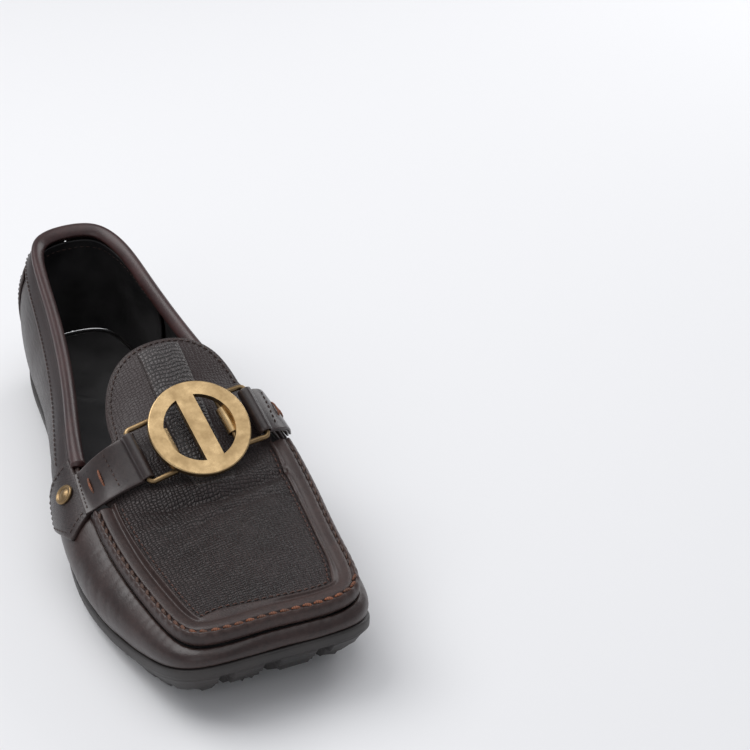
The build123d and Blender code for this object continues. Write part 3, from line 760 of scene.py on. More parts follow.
# the strip's paler, greyer colour is partly its own leather and partly a painted highlight on the top of the
# instep
strip_leather = leather("strip_leather", (0.022, 0.017, 0.0165), (0.038, 0.030, 0.029),
                        (0.06, 0.046, 0.042), 0.30, grain=(2.0, 1.7, 0.95), grain_depth=0.5, coat=0.2)
strap_leather = leather("strap_leather", (0.017, 0.0115, 0.011), (0.027, 0.018, 0.017),
                        (0.046, 0.03, 0.027), 0.34, grain=(1.3, 2.2, 0.3), grain_depth=0.07, coat=0.12)
roll_leather = leather("roll_leather", (0.019, 0.0125, 0.012), (0.030, 0.0195, 0.0185),
                       (0.046, 0.030, 0.027), 0.29, pores=0.02, coat=0.25)
smooth_leather = leather("smooth_leather", (0.020, 0.0108, 0.0098), (0.034, 0.0178, 0.0158),
                         (0.048, 0.026, 0.021), 0.36, pores=0.035, coat=0.10)
seam_leather = leather("seam_leather", (0.025, 0.0135, 0.012), (0.043, 0.023, 0.0195),
                       (0.062, 0.033, 0.026), 0.42, pores=0.05)
# lighter, redder leather for the collar's roll: its own colour with a painted highlight
binding_leather = leather("binding_leather", (0.030, 0.0125, 0.0120), (0.052, 0.0215, 0.0205),
                          (0.066, 0.036, 0.034), 0.38, pores=0.03, coat=0.12)
# darker copy of the binding leather for the band below the roll: painted shade
band_leather_painted_shade = leather("band_leather_painted_shade", (0.017, 0.0105, 0.0105), (0.028, 0.0175, 0.017),
                       (0.042, 0.026, 0.024), 0.42, pores=0.04)
black_lining = lining_material("black_lining", (0.017, 0.016, 0.0165), 0.58)
rust_thread = thread_material("rust_thread", (0.27, 0.085, 0.034), (0.055, 0.028, 0.018))
dark_thread = thread_material("dark_thread", (0.060, 0.031, 0.023), (0.024, 0.015, 0.013))
reddish_thread = thread_material("reddish_thread", (0.105, 0.042, 0.028), (0.045, 0.022, 0.017))
rubber = rubber_material()
brass = brass_material("brass", (0.54, 0.385, 0.205), (0.38, 0.26, 0.13), 0.28)
dull_brass = brass_material("dull_brass", (0.34, 0.235, 0.125), (0.21, 0.14, 0.07), 0.34)
foam = plain_material("foam", (0.16, 0.16, 0.165), (0.28, 0.28, 0.29), 0.85, 900.0, 0.3)
board = plain_material("board", (0.24, 0.18, 0.13), (0.40, 0.32, 0.24), 0.75, 400.0, 0.1)


# ---------------------------------------------------------------- walls of the upper
SEAM_PITCH = 4.7            # from one seam stitch to the next
SEAM_RUN = (5.0, 20.0)      # stations between which lengths along the seam are known
seam_run_t = np.linspace(*SEAM_RUN, 600)
seam_run = running(above_edge(seam_run_t, 1.7, 6.0))


def seam_length(t):
    return np.interp(t, seam_run_t, seam_run)


def wall_span(t0, t1):
    line = wall_point(np.linspace(t0, t1, 200), 0.4)
    return float(np.linalg.norm(np.diff(line, axis=0), axis=1).sum())


def wall_sheet(name, t0, t1, h0, h1, depth, thickness, material, relief=None, pitch=1.0, **facts):
    """A layer of the upper's wall, raised outwards by relief(t, h)."""
    radius = thickness / 2
    tall = float(wall_height((t0 + t1) / 2)) * (h1 - h0)
    us = edged(t0, t1, wall_span(t0, t1), pitch, radius)
    vs = edged(h0, h1, tall, pitch, radius)

    def locate(t, h, d):
        return wall_point(t, h, d if relief is None else d - relief(t, h))

    return pillow(name, us, vs, locate, depth, thickness, material, **facts)


def vamp_relief(t, h):
    """Gathers below the seam, creases where the foot bends, slight unevenness."""
    down = (1 - h) * wall_height(t)
    run = seam_length(t)
    waves = np.cos(2 * math.pi * run / SEAM_PITCH)
    uneven = 0.5 + 0.5 * ripple(run, run * 0.37, 6.0)
    gathers = 0.10 * uneven * waves * np.exp(-(down / 5.5) ** 1.5)
    flex = np.exp(-((t - 8.6) / 0.8) ** 2) + 0.7 * np.exp(-((t - 16.4) / 0.8) ** 2)
    lean = run - 0.55 * down + 2.5 * ripple(run, down, 13.0)
    creases = -0.26 * flex * np.maximum(0, np.cos(2 * math.pi * lean / 10.5)) ** 8
    creases = creases * np.sin(math.pi * np.clip(h, 0, 1)) ** 0.7
    line = blend(X, t) + blend(Y, t)
    return gathers + creases + 0.22 * ripple(line, h * 30, 9.0)


def quarter_relief(t, h):
    line = seam_length(np.clip(t, *SEAM_RUN)) + t * 22
    return 0.20 * ripple(line, h * 34, 11.0)


def walls():
    lateral, medial = LATERAL_END - 0.03, MEDIAL_END + 0.03
    wall_sheet("quarter_lateral", 0.02, lateral, 0.01, 1.0, 0.0, LEATHER, quarter_leather, quarter_relief,
               slot="grain_leather", nodes=("quarter_lateral",))
    wall_sheet("quarter_medial", medial, STATIONS - 0.02, 0.01, 1.0, 0.0, LEATHER, quarter_leather,
               quarter_relief, slot="grain_leather", nodes=("quarter_medial",))
    wall_sheet("vamp", LATERAL_END, MEDIAL_END, 0.01, 1.0, 0.0, LEATHER, smooth_leather, vamp_relief,
               pitch=0.8, slot="smooth_leather", nodes=("vamp",))
    wall_sheet("vamp_lining", LATERAL_END, MEDIAL_END, 0.1, 0.9, 2.0, 0.7, black_lining,
               slot="black_lining", nodes=("vamp_lining",), pitch=2.0)
    wall_sheet("quarter_lining_lateral", HEEL_REACH + 0.05, lateral, 0.03, 0.93, 2.0, 1.0, black_lining,
               slot="black_lining", nodes=("quarter_lining_lateral",), pitch=1.5)
    wall_sheet("quarter_lining_medial", medial, STATIONS - HEEL_REACH - 0.05, 0.03, 0.93, 2.0, 1.0,
               black_lining, slot="black_lining", nodes=("quarter_lining_medial",), pitch=1.5)
    wall_sheet("heel_lining", -HEEL_REACH, HEEL_REACH, 0.03, 0.9, 3.6, 1.0, black_lining,
               slot="black_lining", nodes=("heel_lining",), pitch=1.5)


PATCH_HALF = 1.42           # half width at the sole, in stations
PATCH_SPREAD = 0.36         # how much more it is at the wall's full height
PATCH_TOP = 0.72            # share of the wall's height that it covers
PATCH_STATION = 22          # length of a station there


def heel_patch():
    """Outside patch over the heel seam, a little narrower towards the sole."""
    def locate(s, h, d):
        return wall_point(s * (PATCH_HALF + PATCH_SPREAD * h), h, d)

    us = edged(-1, 1, 2 * 1.6 * PATCH_STATION, 1.0, 0.7)
    vs = edged(0.01, PATCH_TOP, 40, 1.0, 0.7)
    pillow("heel_patch", us, vs, locate, -1.5, 1.4, strap_leather, slot="grain_leather",
           nodes=("heel_patch",))
    h = np.linspace(0.05, PATCH_TOP - 0.02, 60)
    rows = []
    for side in (-1, 1):
        for margin in (2.2, 4.6):
            t = side * (PATCH_HALF + PATCH_SPREAD * h - margin / PATCH_STATION)
            line = wall_point(t, h, -1.55)
            rows.append((line, wall_point(t, h, -3.0) - line))
    stitches("heel_patch_stitches", rows, 2.0, 0.2, dark_thread, 2.9, sink=0.7, slot="dark_thread")


# ---------------------------------------------------------------- collar
COLLAR_PROFILE = [
    (-1.3, -12.2), (-1.5, -8.5), (-1.45, -5.0), (-1.3, -3.3), (-2.3, -2.3), (-2.9, -0.6), (-2.6, 1.3),
    (-1.2, 2.7), (0.9, 3.1), (2.8, 2.4), (3.9, 0.8), (3.9, -1.2), (3.6, -2.9), (3.0, -2.8), (2.8, 0.2),
    (0.4, 0.4), (-0.1, -5.0), (-0.1, -12.0),
]
BAND_POINTS = 3             # profile points on the flat band below the roll
COLLAR_COLUMNS = 72         # points round one cross-section
COLLAR_STITCH_RISE = -10.8
LINING_STITCH_RISE = -13.0


def collar():
    """Folded binding: a roll over the edge in a lighter, redder leather that is partly a painted highlight,
    and a stitched band below it in a darker copy that is painted shade.
    """
    ts = np.linspace(*COLLAR_ENDS, 330)
    profile = np.stack([near_edge(ts, *spot) for spot in COLLAR_PROFILE], 1)
    piece = tube("collar_binding", loop_curve(profile, COLLAR_COLUMNS), binding_leather,
                 slot="binding_leather", nodes=("collar_binding",))
    piece.data.materials.append(band_leather_painted_shade)
    band_columns = BAND_POINTS * COLLAR_COLUMNS // len(COLLAR_PROFILE)
    for k in range((len(ts) - 1) * COLLAR_COLUMNS):
        piece.data.polygons[k].material_index = int(k % COLLAR_COLUMNS < band_columns)
    outside = np.linspace(COLLAR_ENDS[0] + 0.25, COLLAR_ENDS[1] - 0.2, 900)
    within = np.linspace(-HEEL_REACH + 0.2, HEEL_REACH - 0.2, 400)
    rows = (("collar_stitches", outside, -1.5, -3.0, COLLAR_STITCH_RISE, 2.1, 0.27),
            ("lining_stitches", within, 4.65, 6.0, LINING_STITCH_RISE, 2.0, 0.25))
    for name, t, depth, beyond, rise, length, radius in rows:
        line = near_edge(t, depth, rise)
        stitches(name, [(line, near_edge(t, beyond, rise) - line)], length, radius, dark_thread, 3.0,
                 slot="dark_thread")


# ---------------------------------------------------------------- seam
SEAM_PROFILE = [
    (0.3, 0.5), (-0.5, 1.6), (-0.75, 3.2), (-0.55, 4.9), (0.1, 6.2), (0.9, 6.7), (1.5, 6.1), (2.1, 6.0),
    (2.8, 6.7), (4.2, 7.0), (6.0, 6.9), (7.8, 6.5),
]
SEAM_UNDER = [(8.2, 4.3), (5.0, 4.2), (3.0, 3.0), (2.0, 0.6)]
SEAM_LIP = 9.7
SEAM_COLUMNS = 96           # points round one cross-section
EDGE_WEAR_AND_HIGHLIGHT_COLUMNS = slice(18, 30)   # those along its outer corner, given a painted highlight with some rubbing wear
SEAM_FRONT_Y = -149         # its thread is made palest round the toe and darker along the sides


def seam_lip(t):
    """Inset of the seam's inner edge, which rounds off the toe's two corners."""
    lateral_corner = 3.2 * np.exp(-((t - 11.6) / 0.5) ** 2)
    medial_corner = 1.2 * np.exp(-((t - 14.2) / 0.45) ** 2)
    return SEAM_LIP + lateral_corner + medial_corner


def seam_rings(t):
    """Cross-sections of the raised seam, puckered at each stitch, its inner lip on the plug."""
    s = seam_length(t)
    phase = 2 * math.pi * s / SEAM_PITCH
    pucker = 0.5 - 0.5 * np.cos(phase)
    depth = np.interp(t, (14.2, 15.2), (1.0, 0.25))
    uneven = 0.25 * np.sin(s / 13.0) + 0.18 * np.sin(s / 5.3 + 1.0)
    rows = []
    for inset, rise in SEAM_PROFILE:
        corner = math.exp(-((inset - 0.6) / 1.1) ** 2)
        lift = 0.38 * corner * depth * (pucker - 0.5) + uneven * 0.5
        out = -0.30 * corner * depth * (pucker - 0.5)
        rows.append(above_edge(t, inset + out, rise + lift))
    lip = above_edge(t, seam_lip(t), 0)
    for shift, lift in ((-0.9, 0.95), (-0.1, 0.62), (0.0, 0.12), (-1.0, -0.5)):
        spot = above_edge(t, seam_lip(t) + shift, 0)
        spot[:, 2] = worn_instep_z(lip[:, 0], lip[:, 1]) + lift
        rows.append(spot)
    rows += [above_edge(t, inset, rise) for inset, rise in SEAM_UNDER]
    return loop_curve(np.stack(rows, 1), SEAM_COLUMNS)


def seam():
    """The raised seam, with a heavy thread along the lateral side and toe and a sunk one after."""
    rings = seam_rings(np.linspace(*SEAM_ENDS, 620))
    corner = np.zeros(rings.shape[:2])
    # the outer corner takes part of the leather's lighter edge colour: a painted highlight with some rubbing
    # wear
    corner[:, EDGE_WEAR_AND_HIGHLIGHT_COLUMNS] = 0.4
    tube("seam_rib", rings, seam_leather, corner, slot="binding_leather", nodes=("seam_rib",))

    # thread colour set by position only: palest across the toe front, darker along the sides
    def tone(spot):
        return 0.10 + 0.9 * math.exp(-((spot[1] - SEAM_FRONT_Y) / 20) ** 2)

    rows = (("seam_stitches", SEAM_ENDS[0] + 0.05, 14.4, 0.66, 0.55),
            ("seam_stitches_medial", 14.45, SEAM_ENDS[1] - 0.05, 0.34, 1.0))
    for name, start, stop, radius, sink in rows:
        t = np.linspace(start, stop, 1500)
        line = above_edge(t, 1.55, 6.4)
        out = above_edge(t, 1.0, 8.0) - line
        stitches(name, [(line, out)], 3.9, radius, rust_thread, SEAM_PITCH, slant=0.28, sink=sink,
                 tone=tone, twist=0.06, slot="thread")


# ---------------------------------------------------------------- plug and tongue
def plug_border(set_in, count):
    """Plan outline of the plug and its rounded tongue tab, with a wing under each strap end."""
    t = np.linspace(*PLUG_ENDS, 220)
    inset, _ = section_point(t, 1.0)
    wings = 5.6 * np.exp(-((t - 7.25) / 0.36) ** 2) + 4.6 * np.exp(-((t - 17.75) / 0.34) ** 2)
    seam_side = place(t, inset + set_in - wings, 0.0)[:, :2]
    edge = set_in - PLUG_SET_IN
    angle = np.linspace(0, math.pi, 90)[1:-1]
    x = TAB_CENTRE_X + (TAB_HALF_WIDTH - edge) * np.sign(np.cos(angle)) * np.abs(np.cos(angle)) ** 0.75
    y = TAB_FRONT_Y + (TAB_BACK_Y - edge - TAB_FRONT_Y) * np.sin(angle) ** 0.75
    ring = np.concatenate([seam_side, np.stack([x, y], 1)])
    ring = np.concatenate([ring, ring[:1]])
    for _ in range(3):
        smooth = (ring[:-2] + ring[2:]) / 2
        ring[1:-1] = 0.5 * ring[1:-1] + 0.5 * smooth
    run = running(ring)
    return sampled(ring, run, np.linspace(0, run[-1], count, endpoint=False))


TONGUE_ROW_Y = -36          # the tongue's edge stitching lies behind this
UPWARD = (0.0, 0.0, 1.0)
TONGUE_UPWARD = (0.0, -0.35, 0.94)


def plug_rows():
    """Stitching along the plug's seam and round the tongue's edge."""
    t = np.linspace(SEAM_ENDS[0] + 0.1, SEAM_ENDS[1] - 0.1, 900)
    beside_seam = above_edge(t, seam_lip(t) + 1.5, 0)[:, :2]
    tongue = plug_border(PLUG_SET_IN + 2.3, 900)
    tongue = tongue[tongue[:, 1] > TONGUE_ROW_Y]
    order = np.argsort(np.arctan2(tongue[:, 0] - TAB_CENTRE_X, tongue[:, 1] - TONGUE_ROW_Y))
    rows = (("plug_stitches", beside_seam, UPWARD, 0.27, reddish_thread, 2.9),
            ("tongue_stitches", tongue[order], TONGUE_UPWARD, 0.30, dark_thread, 2.8))
    for name, row, out, radius, thread, pitch in rows:
        line = np.column_stack([row, worn_instep_z(row[:, 0], row[:, 1]) + 0.05])
        stitches(name, [(line, np.tile(out, (len(line), 1)))], 1.9, radius, thread, pitch,
                 slot="dark_thread")


def plug():
    """The plug with its tongue tab, the lining under it, and its stitching."""
    cut_sheet("plug", plug_border(PLUG_SET_IN, 520), worn_instep_z, LEATHER, 1.1, plug_leather,
              slot="grain_leather", nodes=("plug",))
    cut_sheet("plug_lining", plug_border(PLUG_SET_IN + 0.8, 300),
              lambda x, y: worn_instep_z(x, y) - LEATHER - 0.2, 1.0, 2.2, black_lining,
              slot="black_lining", nodes=("plug_lining",))
    plug_rows()


def centre_strip():
    """Raised strip down the tongue, soft at its sides."""
    us = edged(*STRIP_ENDS, STRIP_ENDS[1] - STRIP_ENDS[0], 0.9, 0.8)
    vs = edged(-STRIP_HALF_WIDTH, STRIP_HALF_WIDTH, 2 * STRIP_HALF_WIDTH, 0.8, 0.8)

    def locate(y, across, d):
        x = TAB_CENTRE_X + across
        swell = 0.8 * (1 - (across / STRIP_HALF_WIDTH) ** 2)
        fade = np.clip((y - STRIP_ENDS[0] - 2) / 16, 0, 1)
        return np.stack([x, y, worn_instep_z(x, y) + (1.25 + swell) * fade - d], -1)

    pillow("centre_strip", us, vs, locate, 0.0, 1.5, strip_leather, radius=1.6,
           slot="grain_leather", nodes=("centre_strip",))


# ---------------------------------------------------------------- strap
def strap_frame():
    """Axes across the shoe, out of the instep, and along the strap's width to the toe."""
    dip, turn = math.radians(STRAP_DIP), math.radians(STRAP_TURN)
    toeward = np.array((0.0, -math.cos(dip), -math.sin(dip)))
    medial = np.array((1.0, 0.0, 0.0))
    across = medial * math.cos(turn) - toeward * math.sin(turn)
    width = toeward * math.cos(turn) + medial * math.sin(turn)
    return across, np.cross(width, across), width


def on_strap(axes, x, h, w):
    across, out, width = axes
    return BUCKLE_CENTRE + x[..., None] * across + h[..., None] * out + w[..., None] * width


def smooth_line(points, count):
    """Open Catmull-Rom line through plane points, evenly spaced."""
    p = np.array(points, float)
    p = np.concatenate([[2 * p[0] - p[1]], p, [2 * p[-1] - p[-2]]])
    made = []
    for k in range(1, len(p) - 2):
        f = np.linspace(0, 1, 40, endpoint=k == len(p) - 3)[:, None]
        made.append(catmull_rom(*p[k - 1:k + 3], f))
    made = np.concatenate(made)
    run = running(made)
    return sampled(made, run, np.linspace(0, run[-1], count))


def badge_station(side, t):
    return t if side == "lateral" else BADGE_MIRROR - t


def badge_point(side, t, share, depth):
    """Point on the badge: share is 0 along its lower edges and 1 along its upper ones."""
    low, high = (np.interp(t, BADGE_SHAPE[:, 0], BADGE_SHAPE[:, k]) for k in (1, 2))
    return wall_point(badge_station(side, t), low + (high - low) * share, depth)


def badge(side):
    """Badge under the strap's end, pointed below and in front, with its stitching and rivet."""
    start, stop = BADGE_SHAPE[0, 0], BADGE_SHAPE[-1, 0]
    corners = BADGE_SHAPE[1:-1, 0]
    ts = np.unique(np.round(np.concatenate([edged(start, stop, 39, 0.8, 0.8), corners]), 4))
    shares = edged(0.0, 1.0, 20, 0.7, 0.6)
    pillow(f"side_badge_{side}", ts, shares, lambda t, v, d: badge_point(side, t, v, BADGE_FACE + d),
           0.0, 1.9, strap_leather, radius=1.0, slot="grain_leather", nodes=(f"side_badge_{side}",))
    middle = BADGE_STITCH_LINE.mean(0)
    inner = middle + (BADGE_STITCH_LINE - middle) * 0.86
    edges = []
    for first, second in zip(inner, inner[1:]):
        t, h = (np.linspace(first[k], second[k], 60) for k in (0, 1))
        line = wall_point(badge_station(side, t), h, BADGE_FACE - 0.03)
        edges.append((line, wall_point(badge_station(side, t), h, BADGE_FACE - 1.0) - line))
    stitches(f"badge_stitches_{side}", edges, 1.9, 0.2, dark_thread, 2.7, slot="dark_thread")
    rivet(side)


def rivet_profile(r):
    """Radius and height from the rivet's edge, over its rim and the hollow inside it, to the top."""
    return [
        (r - 0.1, 0.0), (r, 0.35), (r - 0.05, 0.8), (r - 0.35, 1.2), (r - 0.8, 1.32), (r - 1.15, 1.15),
        (r - 1.35, 0.85), (r - 1.7, 0.75), (r - 2.3, 1.0), (r - 3.0, 1.35), (r - 3.7, 1.5), (0.35, 1.55),
    ]


def rivet(side):
    """Domed rivet with a raised rim, turned from a profile."""
    t, h = RIVET_PLACE
    station = np.array([badge_station(side, t)])
    centre = wall_point(station, h, BADGE_FACE - 0.05)[0]
    along = (wall_point(station + 0.05, h, BADGE_FACE) - wall_point(station - 0.05, h, BADGE_FACE))[0]
    upwards = (wall_point(station, h + 0.02, BADGE_FACE) - wall_point(station, h - 0.02, BADGE_FACE))[0]
    normal = np.cross(along, upwards)
    normal /= np.linalg.norm(normal)
    first = np.cross(normal, (0.0, 0.0, 1.0))
    first /= np.linalg.norm(first)
    second = np.cross(normal, first)
    turns = np.linspace(0, 2 * math.pi, 56, endpoint=False)
    rings = np.array([[centre + (first * math.cos(a) + second * math.sin(a)) * k + normal * z for a in turns]
                      for k, z in rivet_profile(RIVET_RADIUS)])
    tube(f"rivet_{side}", rings, dull_brass, slot="brass", nodes=(f"rivet_{side}",))


STRAP_UNDER = 0.6           # how far out of the tail's line the lower thickness lies
STRAP_OVER = 1.85           # and the upper one
ROLL_CLEAR = 3.1            # the tail's line is left out this near the ring's bar
TACK_WIDTH = 9.2


def loop_path(points, side):
    """Line of the folded strap in one plane: under from the badge, round the bar, back over."""
    sign = OUTWARD[side]
    line = smooth_line(points, 120)
    tangent = np.gradient(line, axis=0)
    tangent /= np.linalg.norm(tangent, axis=1)[:, None]
    normal = np.stack([-tangent[:, 1], tangent[:, 0]], 1) * sign
    reach, slack = LOOP_ROOM[side]
    centre = np.array((sign * (RING_OUTER_X - slack), RING_OUTER_H[side]))
    keep = np.linalg.norm(line - centre, axis=1) > ROLL_CLEAR
    under = (line + normal * STRAP_UNDER)[keep][::-1]
    over = (line + normal * STRAP_OVER)[keep]
    start, stop = under[-1] - centre, over[0] - centre
    a0, a1 = math.atan2(start[1], start[0]), math.atan2(stop[1], stop[0])
    turn = (a1 - a0) % (2 * math.pi)
    if turn < math.pi:
        turn -= 2 * math.pi
    angles = a0 + np.linspace(0.12, 0.88, 40) * turn
    roll = centre + reach * np.stack([np.cos(angles), np.sin(angles)], 1)
    path = np.concatenate([under, roll, over])
    for _ in range(6):
        path[1:-1] = 0.25 * path[:-2] + 0.5 * path[1:-1] + 0.25 * path[2:]
    run = running(path)
    path = sampled(path, run, np.linspace(0, run[-1], 300))
    flow = np.gradient(path, axis=0)
    flow /= np.linalg.norm(flow, axis=1)[:, None]
    away = np.stack([-flow[:, 1], flow[:, 0]], 1)
    middle = len(path) // 2
    if away[middle] @ (path[middle] - centre) < 0:
        away = -away
    return path, away, float(run[-1])


def strap_loop(side):
    """Strap folded round the ring's bar, its two thicknesses twisting to lie on the badge."""
    axes = strap_frame()
    half = LOOP_WIDTH / 2
    made = [loop_path(points, side) for points in LOOP_LINE[side]]
    paths, aways = (np.stack([m[k] for m in made]) for k in (0, 1))
    length = made[1][2]
    shares = np.linspace(0, 1, paths.shape[1])

    def across_width(lines, s, weights, c):
        return sum(q * np.interp(s / length, shares, lines[i, :, c]) for i, q in enumerate(weights))

    def locate(s, w, d):
        k = w / half
        weights = (k * (k - 1) / 2, 1 - k * k, k * (k + 1) / 2)
        spot, out = ([across_width(lines, s, weights, c) for c in (0, 1)] for lines in (paths, aways))
        lift = 0.6 - d + 0.12 * (1 - k * k)
        return on_strap(axes, spot[0] + out[0] * lift, spot[1] + out[1] * lift, w)

    us = edged(0, length, length, 0.5, 0.55)
    vs = edged(-half, half, LOOP_WIDTH, 0.8, 0.55)
    pillow(f"strap_loop_{side}", us, vs, locate, 0.0, 1.15, roll_leather, slot="smooth_leather",
           nodes=(f"strap_loop_{side}",))

    def row(from_end, reach):
        w = np.linspace(-reach, reach, 40)
        s = np.full(w.shape, length - from_end)
        points = locate(s, w, np.full(w.shape, -0.02))
        return points, locate(s, w, np.full(w.shape, -1.0)) - points

    rows = [row(from_end, half - 1.5) for from_end in (1.6, 18.5)]
    stitches(f"strap_stitches_{side}", rows, 1.7, 0.26, dark_thread, 2.5, slot="dark_thread")
    tacks = [row(from_end, TACK_WIDTH / 2) for from_end in (7.0, 13.0)]
    stitches(f"bar_tacks_{side}", tacks, 8.6, 0.6, rust_thread, 9.0, sink=0.2, twist=0.12,
             tone=lambda spot: 0.75, slot="thread")


# ---------------------------------------------------------------- sole
def skirt_inset(z, below):
    """How far the rubber's side is drawn in, at a height and a distance below the feather line."""
    flat = np.interp(z, (-2, 3, 8), (8.0, 4.5, -SOLE_FLARE))
    rim = np.interp(below, (CHANNEL, 8, 12, 18), (-SOLE_FLARE, 1.5, 4.0, 7.0))
    return np.maximum(flat, rim * (below > CHANNEL))


def notch(x, y):
    """Share of a lug notch at a point on the sole's edge: rounded cuts at the toe and heel."""
    share = np.zeros_like(x)
    ends = np.clip((np.abs(y + 5) - 118) / 12, 0, 1)
    for groove in LONG_GROOVES:
        share = np.maximum(share, np.clip(1 - ((x - groove) / 3.3) ** 2, 0, 1) ** 0.5)
    return share * ends


def nearest_groove(y):
    return np.round((y + CROSS_GROOVE_END) / GROOVE_PITCH) * GROOVE_PITCH - CROSS_GROOVE_END


def side_cut(y):
    """Share of a transverse groove where it runs out at the side."""
    share = np.clip(1.6 - np.abs(y - nearest_groove(y)) / (GROOVE / 2), 0, 1)
    return share * (np.abs(y) < CROSS_GROOVE_END + 2)


RIM_PROFILE = [             # inset and depth, up the inside of the cup, over its rim and down outside
    (RIM, CUP_DEPTH), (RIM, 3.0), (RIM, 0.5), (RIM - 0.3, 0.1), (1.4, 0.0), (-0.3, 0.02),
    (-SOLE_FLARE + 0.3, 0.3), (-SOLE_FLARE + 0.03, 0.8), (-SOLE_FLARE, 2.0), (-SOLE_FLARE + 0.02, 3.6),
    (-SOLE_FLARE + 0.15, 4.7),
]
CHANNEL_PROFILE = [(0.0, 0.45), (0.9, 0.2), (0.9, -0.5), (0.1, -0.8)]   # inset, height from the line
GROOVE_EDGES = (-1.7, -1.45, 1.45, 1.7)


def sole_rows(t):
    """Insets and heights of the rubber's rings, from the floor of the cup round to the tread."""
    x, y = blend(X, t), blend(Y, t)
    f, g = feather_z(y), tread_z(y)
    cut, across = notch(x, y), side_cut(y)
    rows = [(inset + 0 * t, f - depth) for inset, depth in RIM_PROFILE]
    drawn_in = np.maximum(0, skirt_inset(f - CHANNEL, CHANNEL) + SOLE_FLARE)
    side = -SOLE_FLARE + 0.35 + drawn_in
    rows += [(side + inset, f - CHANNEL + rise) for inset, rise in CHANNEL_PROFILE]
    for share in np.linspace(0.06, 0.93, 13):
        z = (f - CHANNEL - 1.0) * (1 - share) + (g + 0.5) * share
        low = np.clip((g + GROOVE_DEPTH - z) / 0.6, 0, 1)
        inset = np.maximum(side, skirt_inset(z, f - z))
        rows.append((inset + LUG_NOTCH * cut * min(1, share * 6) + SIDE_NOTCH * across * low, z))
    foot = skirt_inset(g, f - g) + LUG_NOTCH * cut + SIDE_NOTCH * across
    return rows + [(foot + 0.35, g + 0.12), (foot + 1.1, g)]


def cup_floor(border):
    """Points inside the border of the cup's floor, and its triangles."""
    flat, triangles = fill(border, [], 5.0, 2.0)
    inner = flat[len(border):]
    return np.column_stack([inner, feather_z(inner[:, 1]) - CUP_DEPTH]), triangles


def tread(border):
    """Points inside the border of the grooved tread, and its triangles."""
    last = CROSS_GROOVE_END + GROOVE_PITCH
    spacing = np.array(GROOVE_EDGES + (4, 6, 8))
    ys = np.sort(np.concatenate([k + spacing for k in np.arange(-last, last + 1, GROOVE_PITCH)]))
    xs = np.concatenate([k + np.array(GROOVE_EDGES) for k in LONG_GROOVES])
    xs = np.sort(np.concatenate([xs, np.arange(-54, 54, 4.0)]))
    flat, triangles = fill(border, [], 3.0, 0.8, xs, ys)
    inner = flat[len(border):]
    nearest = nearest_groove(inner[:, 1])
    grooved = (np.abs(inner[:, 1] - nearest) < GROOVE / 2) & (np.abs(nearest) <= CROSS_GROOVE_END)
    for groove in LONG_GROOVES:
        grooved |= np.abs(inner[:, 0] - groove) < GROOVE / 2
    return np.column_stack([inner, tread_z(inner[:, 1]) + GROOVE_DEPTH * grooved]), triangles


def outsole():
    """Rubber cup sole: rim, moulded line, drawn-in side with lugs, grooved tread."""
    t = np.linspace(0, STATIONS, 1150, endpoint=False)
    rings = np.stack([place(t, inset, z) for inset, z in sole_rows(t)])
    ids = np.arange(rings.shape[0] * rings.shape[1]).reshape(rings.shape[:2])
    ahead = np.roll(ids, -1, axis=1)
    quads = np.stack([ids[:-1], ahead[:-1], ahead[1:], ids[1:]], -1)
    faces = quads.reshape(-1, 4).tolist()
    points = [rings.reshape(-1, 3)]
    total = ids.size
    for row, surface in ((0, cup_floor), (-1, tread)):
        inner, triangles = surface(rings[row][:, :2])
        points.append(inner)
        numbers = np.concatenate([ids[row], total + np.arange(len(inner))])
        faces += [tuple(int(numbers[k]) for k in face) for face in triangles]
        total += len(inner)
    everything = np.concatenate(points)
    add_piece("outsole", everything, faces, rubber, everything[:, :2], slot="rubber", nodes=("outsole",))


def sole_border(inset, heel_inset=None, count=420):
    """Outline of a layer inside the shoe; at the heel it may be set in further."""
    t = np.linspace(0, STATIONS, count, endpoint=False)
    reach = np.minimum(t, STATIONS - t)
    at = np.interp(reach, (HEEL_REACH, HEEL_REACH + 0.4), (heel_inset or inset, inset))
    return place(t, at, 0.0)[:, :2]


SEAT_CENTRE = (10, 112)
SEAT_HALF = (24, 30)        # half the heel seat's width and length


def insides():
    """Foam footbed and sock lining with its heel seat."""
    def foam_top(x, y):
        return feather_z(y) + 0.7 - 0.15 * ripple(x, y, 12.0) ** 2

    def sock_top(x, y):
        out = np.hypot((x - SEAT_CENTRE[0]) / SEAT_HALF[0], (y - SEAT_CENTRE[1]) / SEAT_HALF[1])
        seat = np.exp(-((out - 1) / 0.05) ** 2)
        return feather_z(y) + 1.95 + 0.35 * seat * (y > 84) + 0.12 * ripple(x, y, 9.0)

    pad = cut_sheet("footbed_foam", sole_border(5.4), foam_top, 3.0, 3.0, foam, radius=1.4, slot="foam",
                    nodes=("footbed_foam",))
    cut_sheet("sock_lining", sole_border(3.5, 4.9), sock_top, 1.15, 1.6, black_lining,
              slot="black_lining", nodes=("sock_lining",))


def carried_over():
    """CAD nodes that stay as they are get their finished materials."""
    finishes = {
        "buckle_disc": brass, "ring_lateral": dull_brass, "ring_medial": dull_brass,
        "sole_filler": foam, "insole_board": board, "heel_counter": board,
    }
    for node, material in finishes.items():
        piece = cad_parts[node]
        piece.data.materials.clear()
        piece.data.materials.append(material)


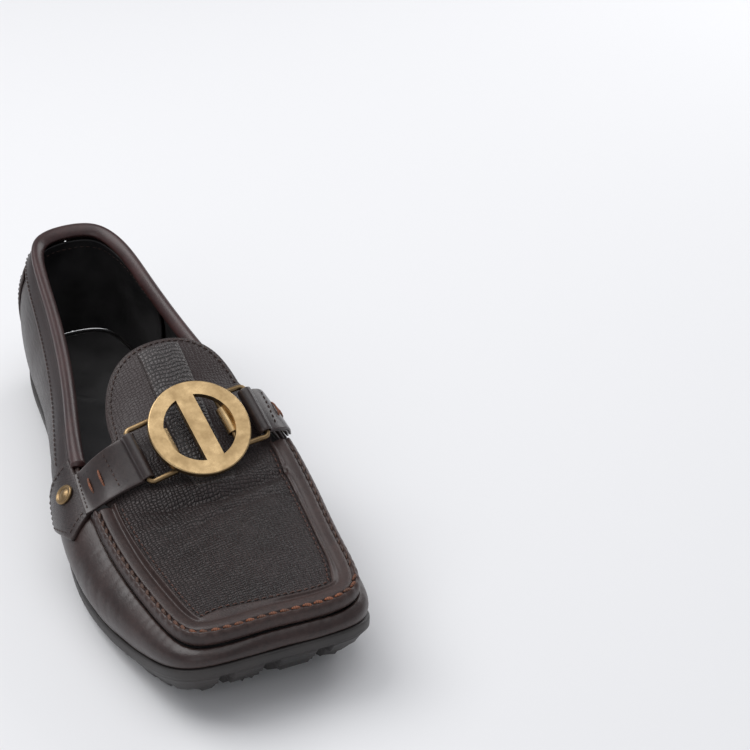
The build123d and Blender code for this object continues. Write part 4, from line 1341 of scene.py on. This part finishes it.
# ---------------------------------------------------------------- stage
LIGHTS = {                  # place, aim, size and power
    "key": ((-0.55, 0.55, 1.25), (0, 0, 0.03), 1.0, 12.0),
    "top": ((0.1, -0.1, 1.5), (0, 0, 0), 1.2, 5.5),
    "fill": ((-0.9, -0.9, 0.7), (0, 0, 0.03), 0.8, 2.0),
    "rim": ((0.9, 0.5, 0.5), (0, 0, 0.04), 0.6, 2.6),
}
SKY_STRENGTH = 0.42
EYE = Vector((-0.2418, -0.7463, 0.5518))
EYE_AIM = Vector((0.1406, 0.0663, 0.0))
LENS = 101.28
SENSOR = 36.0


def facing(place_at, aim):
    """Rotation that looks from one point to another."""
    return (Vector(aim) - Vector(place_at)).to_track_quat("-Z", "Y").to_euler()


def area_light(name, place_at, aim, size, power):
    data = bpy.data.lights.new(name, "AREA")
    data.shape = "RECTANGLE"
    data.size, data.size_y = size, size
    data.energy = power
    lamp = bpy.data.objects.new(name, data)
    lamp.location = place_at
    lamp.rotation_euler = facing(place_at, aim)
    bpy.context.collection.objects.link(lamp)


def stage():
    """Pale floor, soft sky and four soft lights."""
    bpy.ops.mesh.primitive_plane_add(size=8, location=(0, 0, cad_box[0].z))
    floor = bpy.context.object
    floor.name = "floor"
    material, _, bsdf = start_material("floor")
    bsdf.inputs["Base Color"].default_value = rgb(0.80, 0.80, 0.81)
    bsdf.inputs["Roughness"].default_value = 0.75
    bsdf.inputs["Specular IOR Level"].default_value = 0.2
    floor.data.materials.append(material)
    world = bpy.data.worlds.new("studio")
    world.use_nodes = True
    background = world.node_tree.nodes["Background"]
    background.inputs[0].default_value = rgb(0.93, 0.95, 1.0)
    background.inputs[1].default_value = SKY_STRENGTH
    bpy.context.scene.world = world
    for name, facts in LIGHTS.items():
        area_light(name, *facts)


def camera():
    data = bpy.data.cameras.new("camera")
    data.lens = LENS
    data.sensor_width = SENSOR
    eye = bpy.data.objects.new("camera", data)
    eye.location = EYE
    eye.rotation_euler = facing(EYE, EYE_AIM)
    bpy.context.collection.objects.link(eye)
    bpy.context.scene.camera = eye
    bpy.context.scene.view_settings.view_transform = "Standard"


walls()
heel_patch()
collar()
seam()
plug()
centre_strip()
for side in ("lateral", "medial"):
    badge(side)
    strap_loop(side)
outsole()
insides()
carried_over()
camera()
stage()
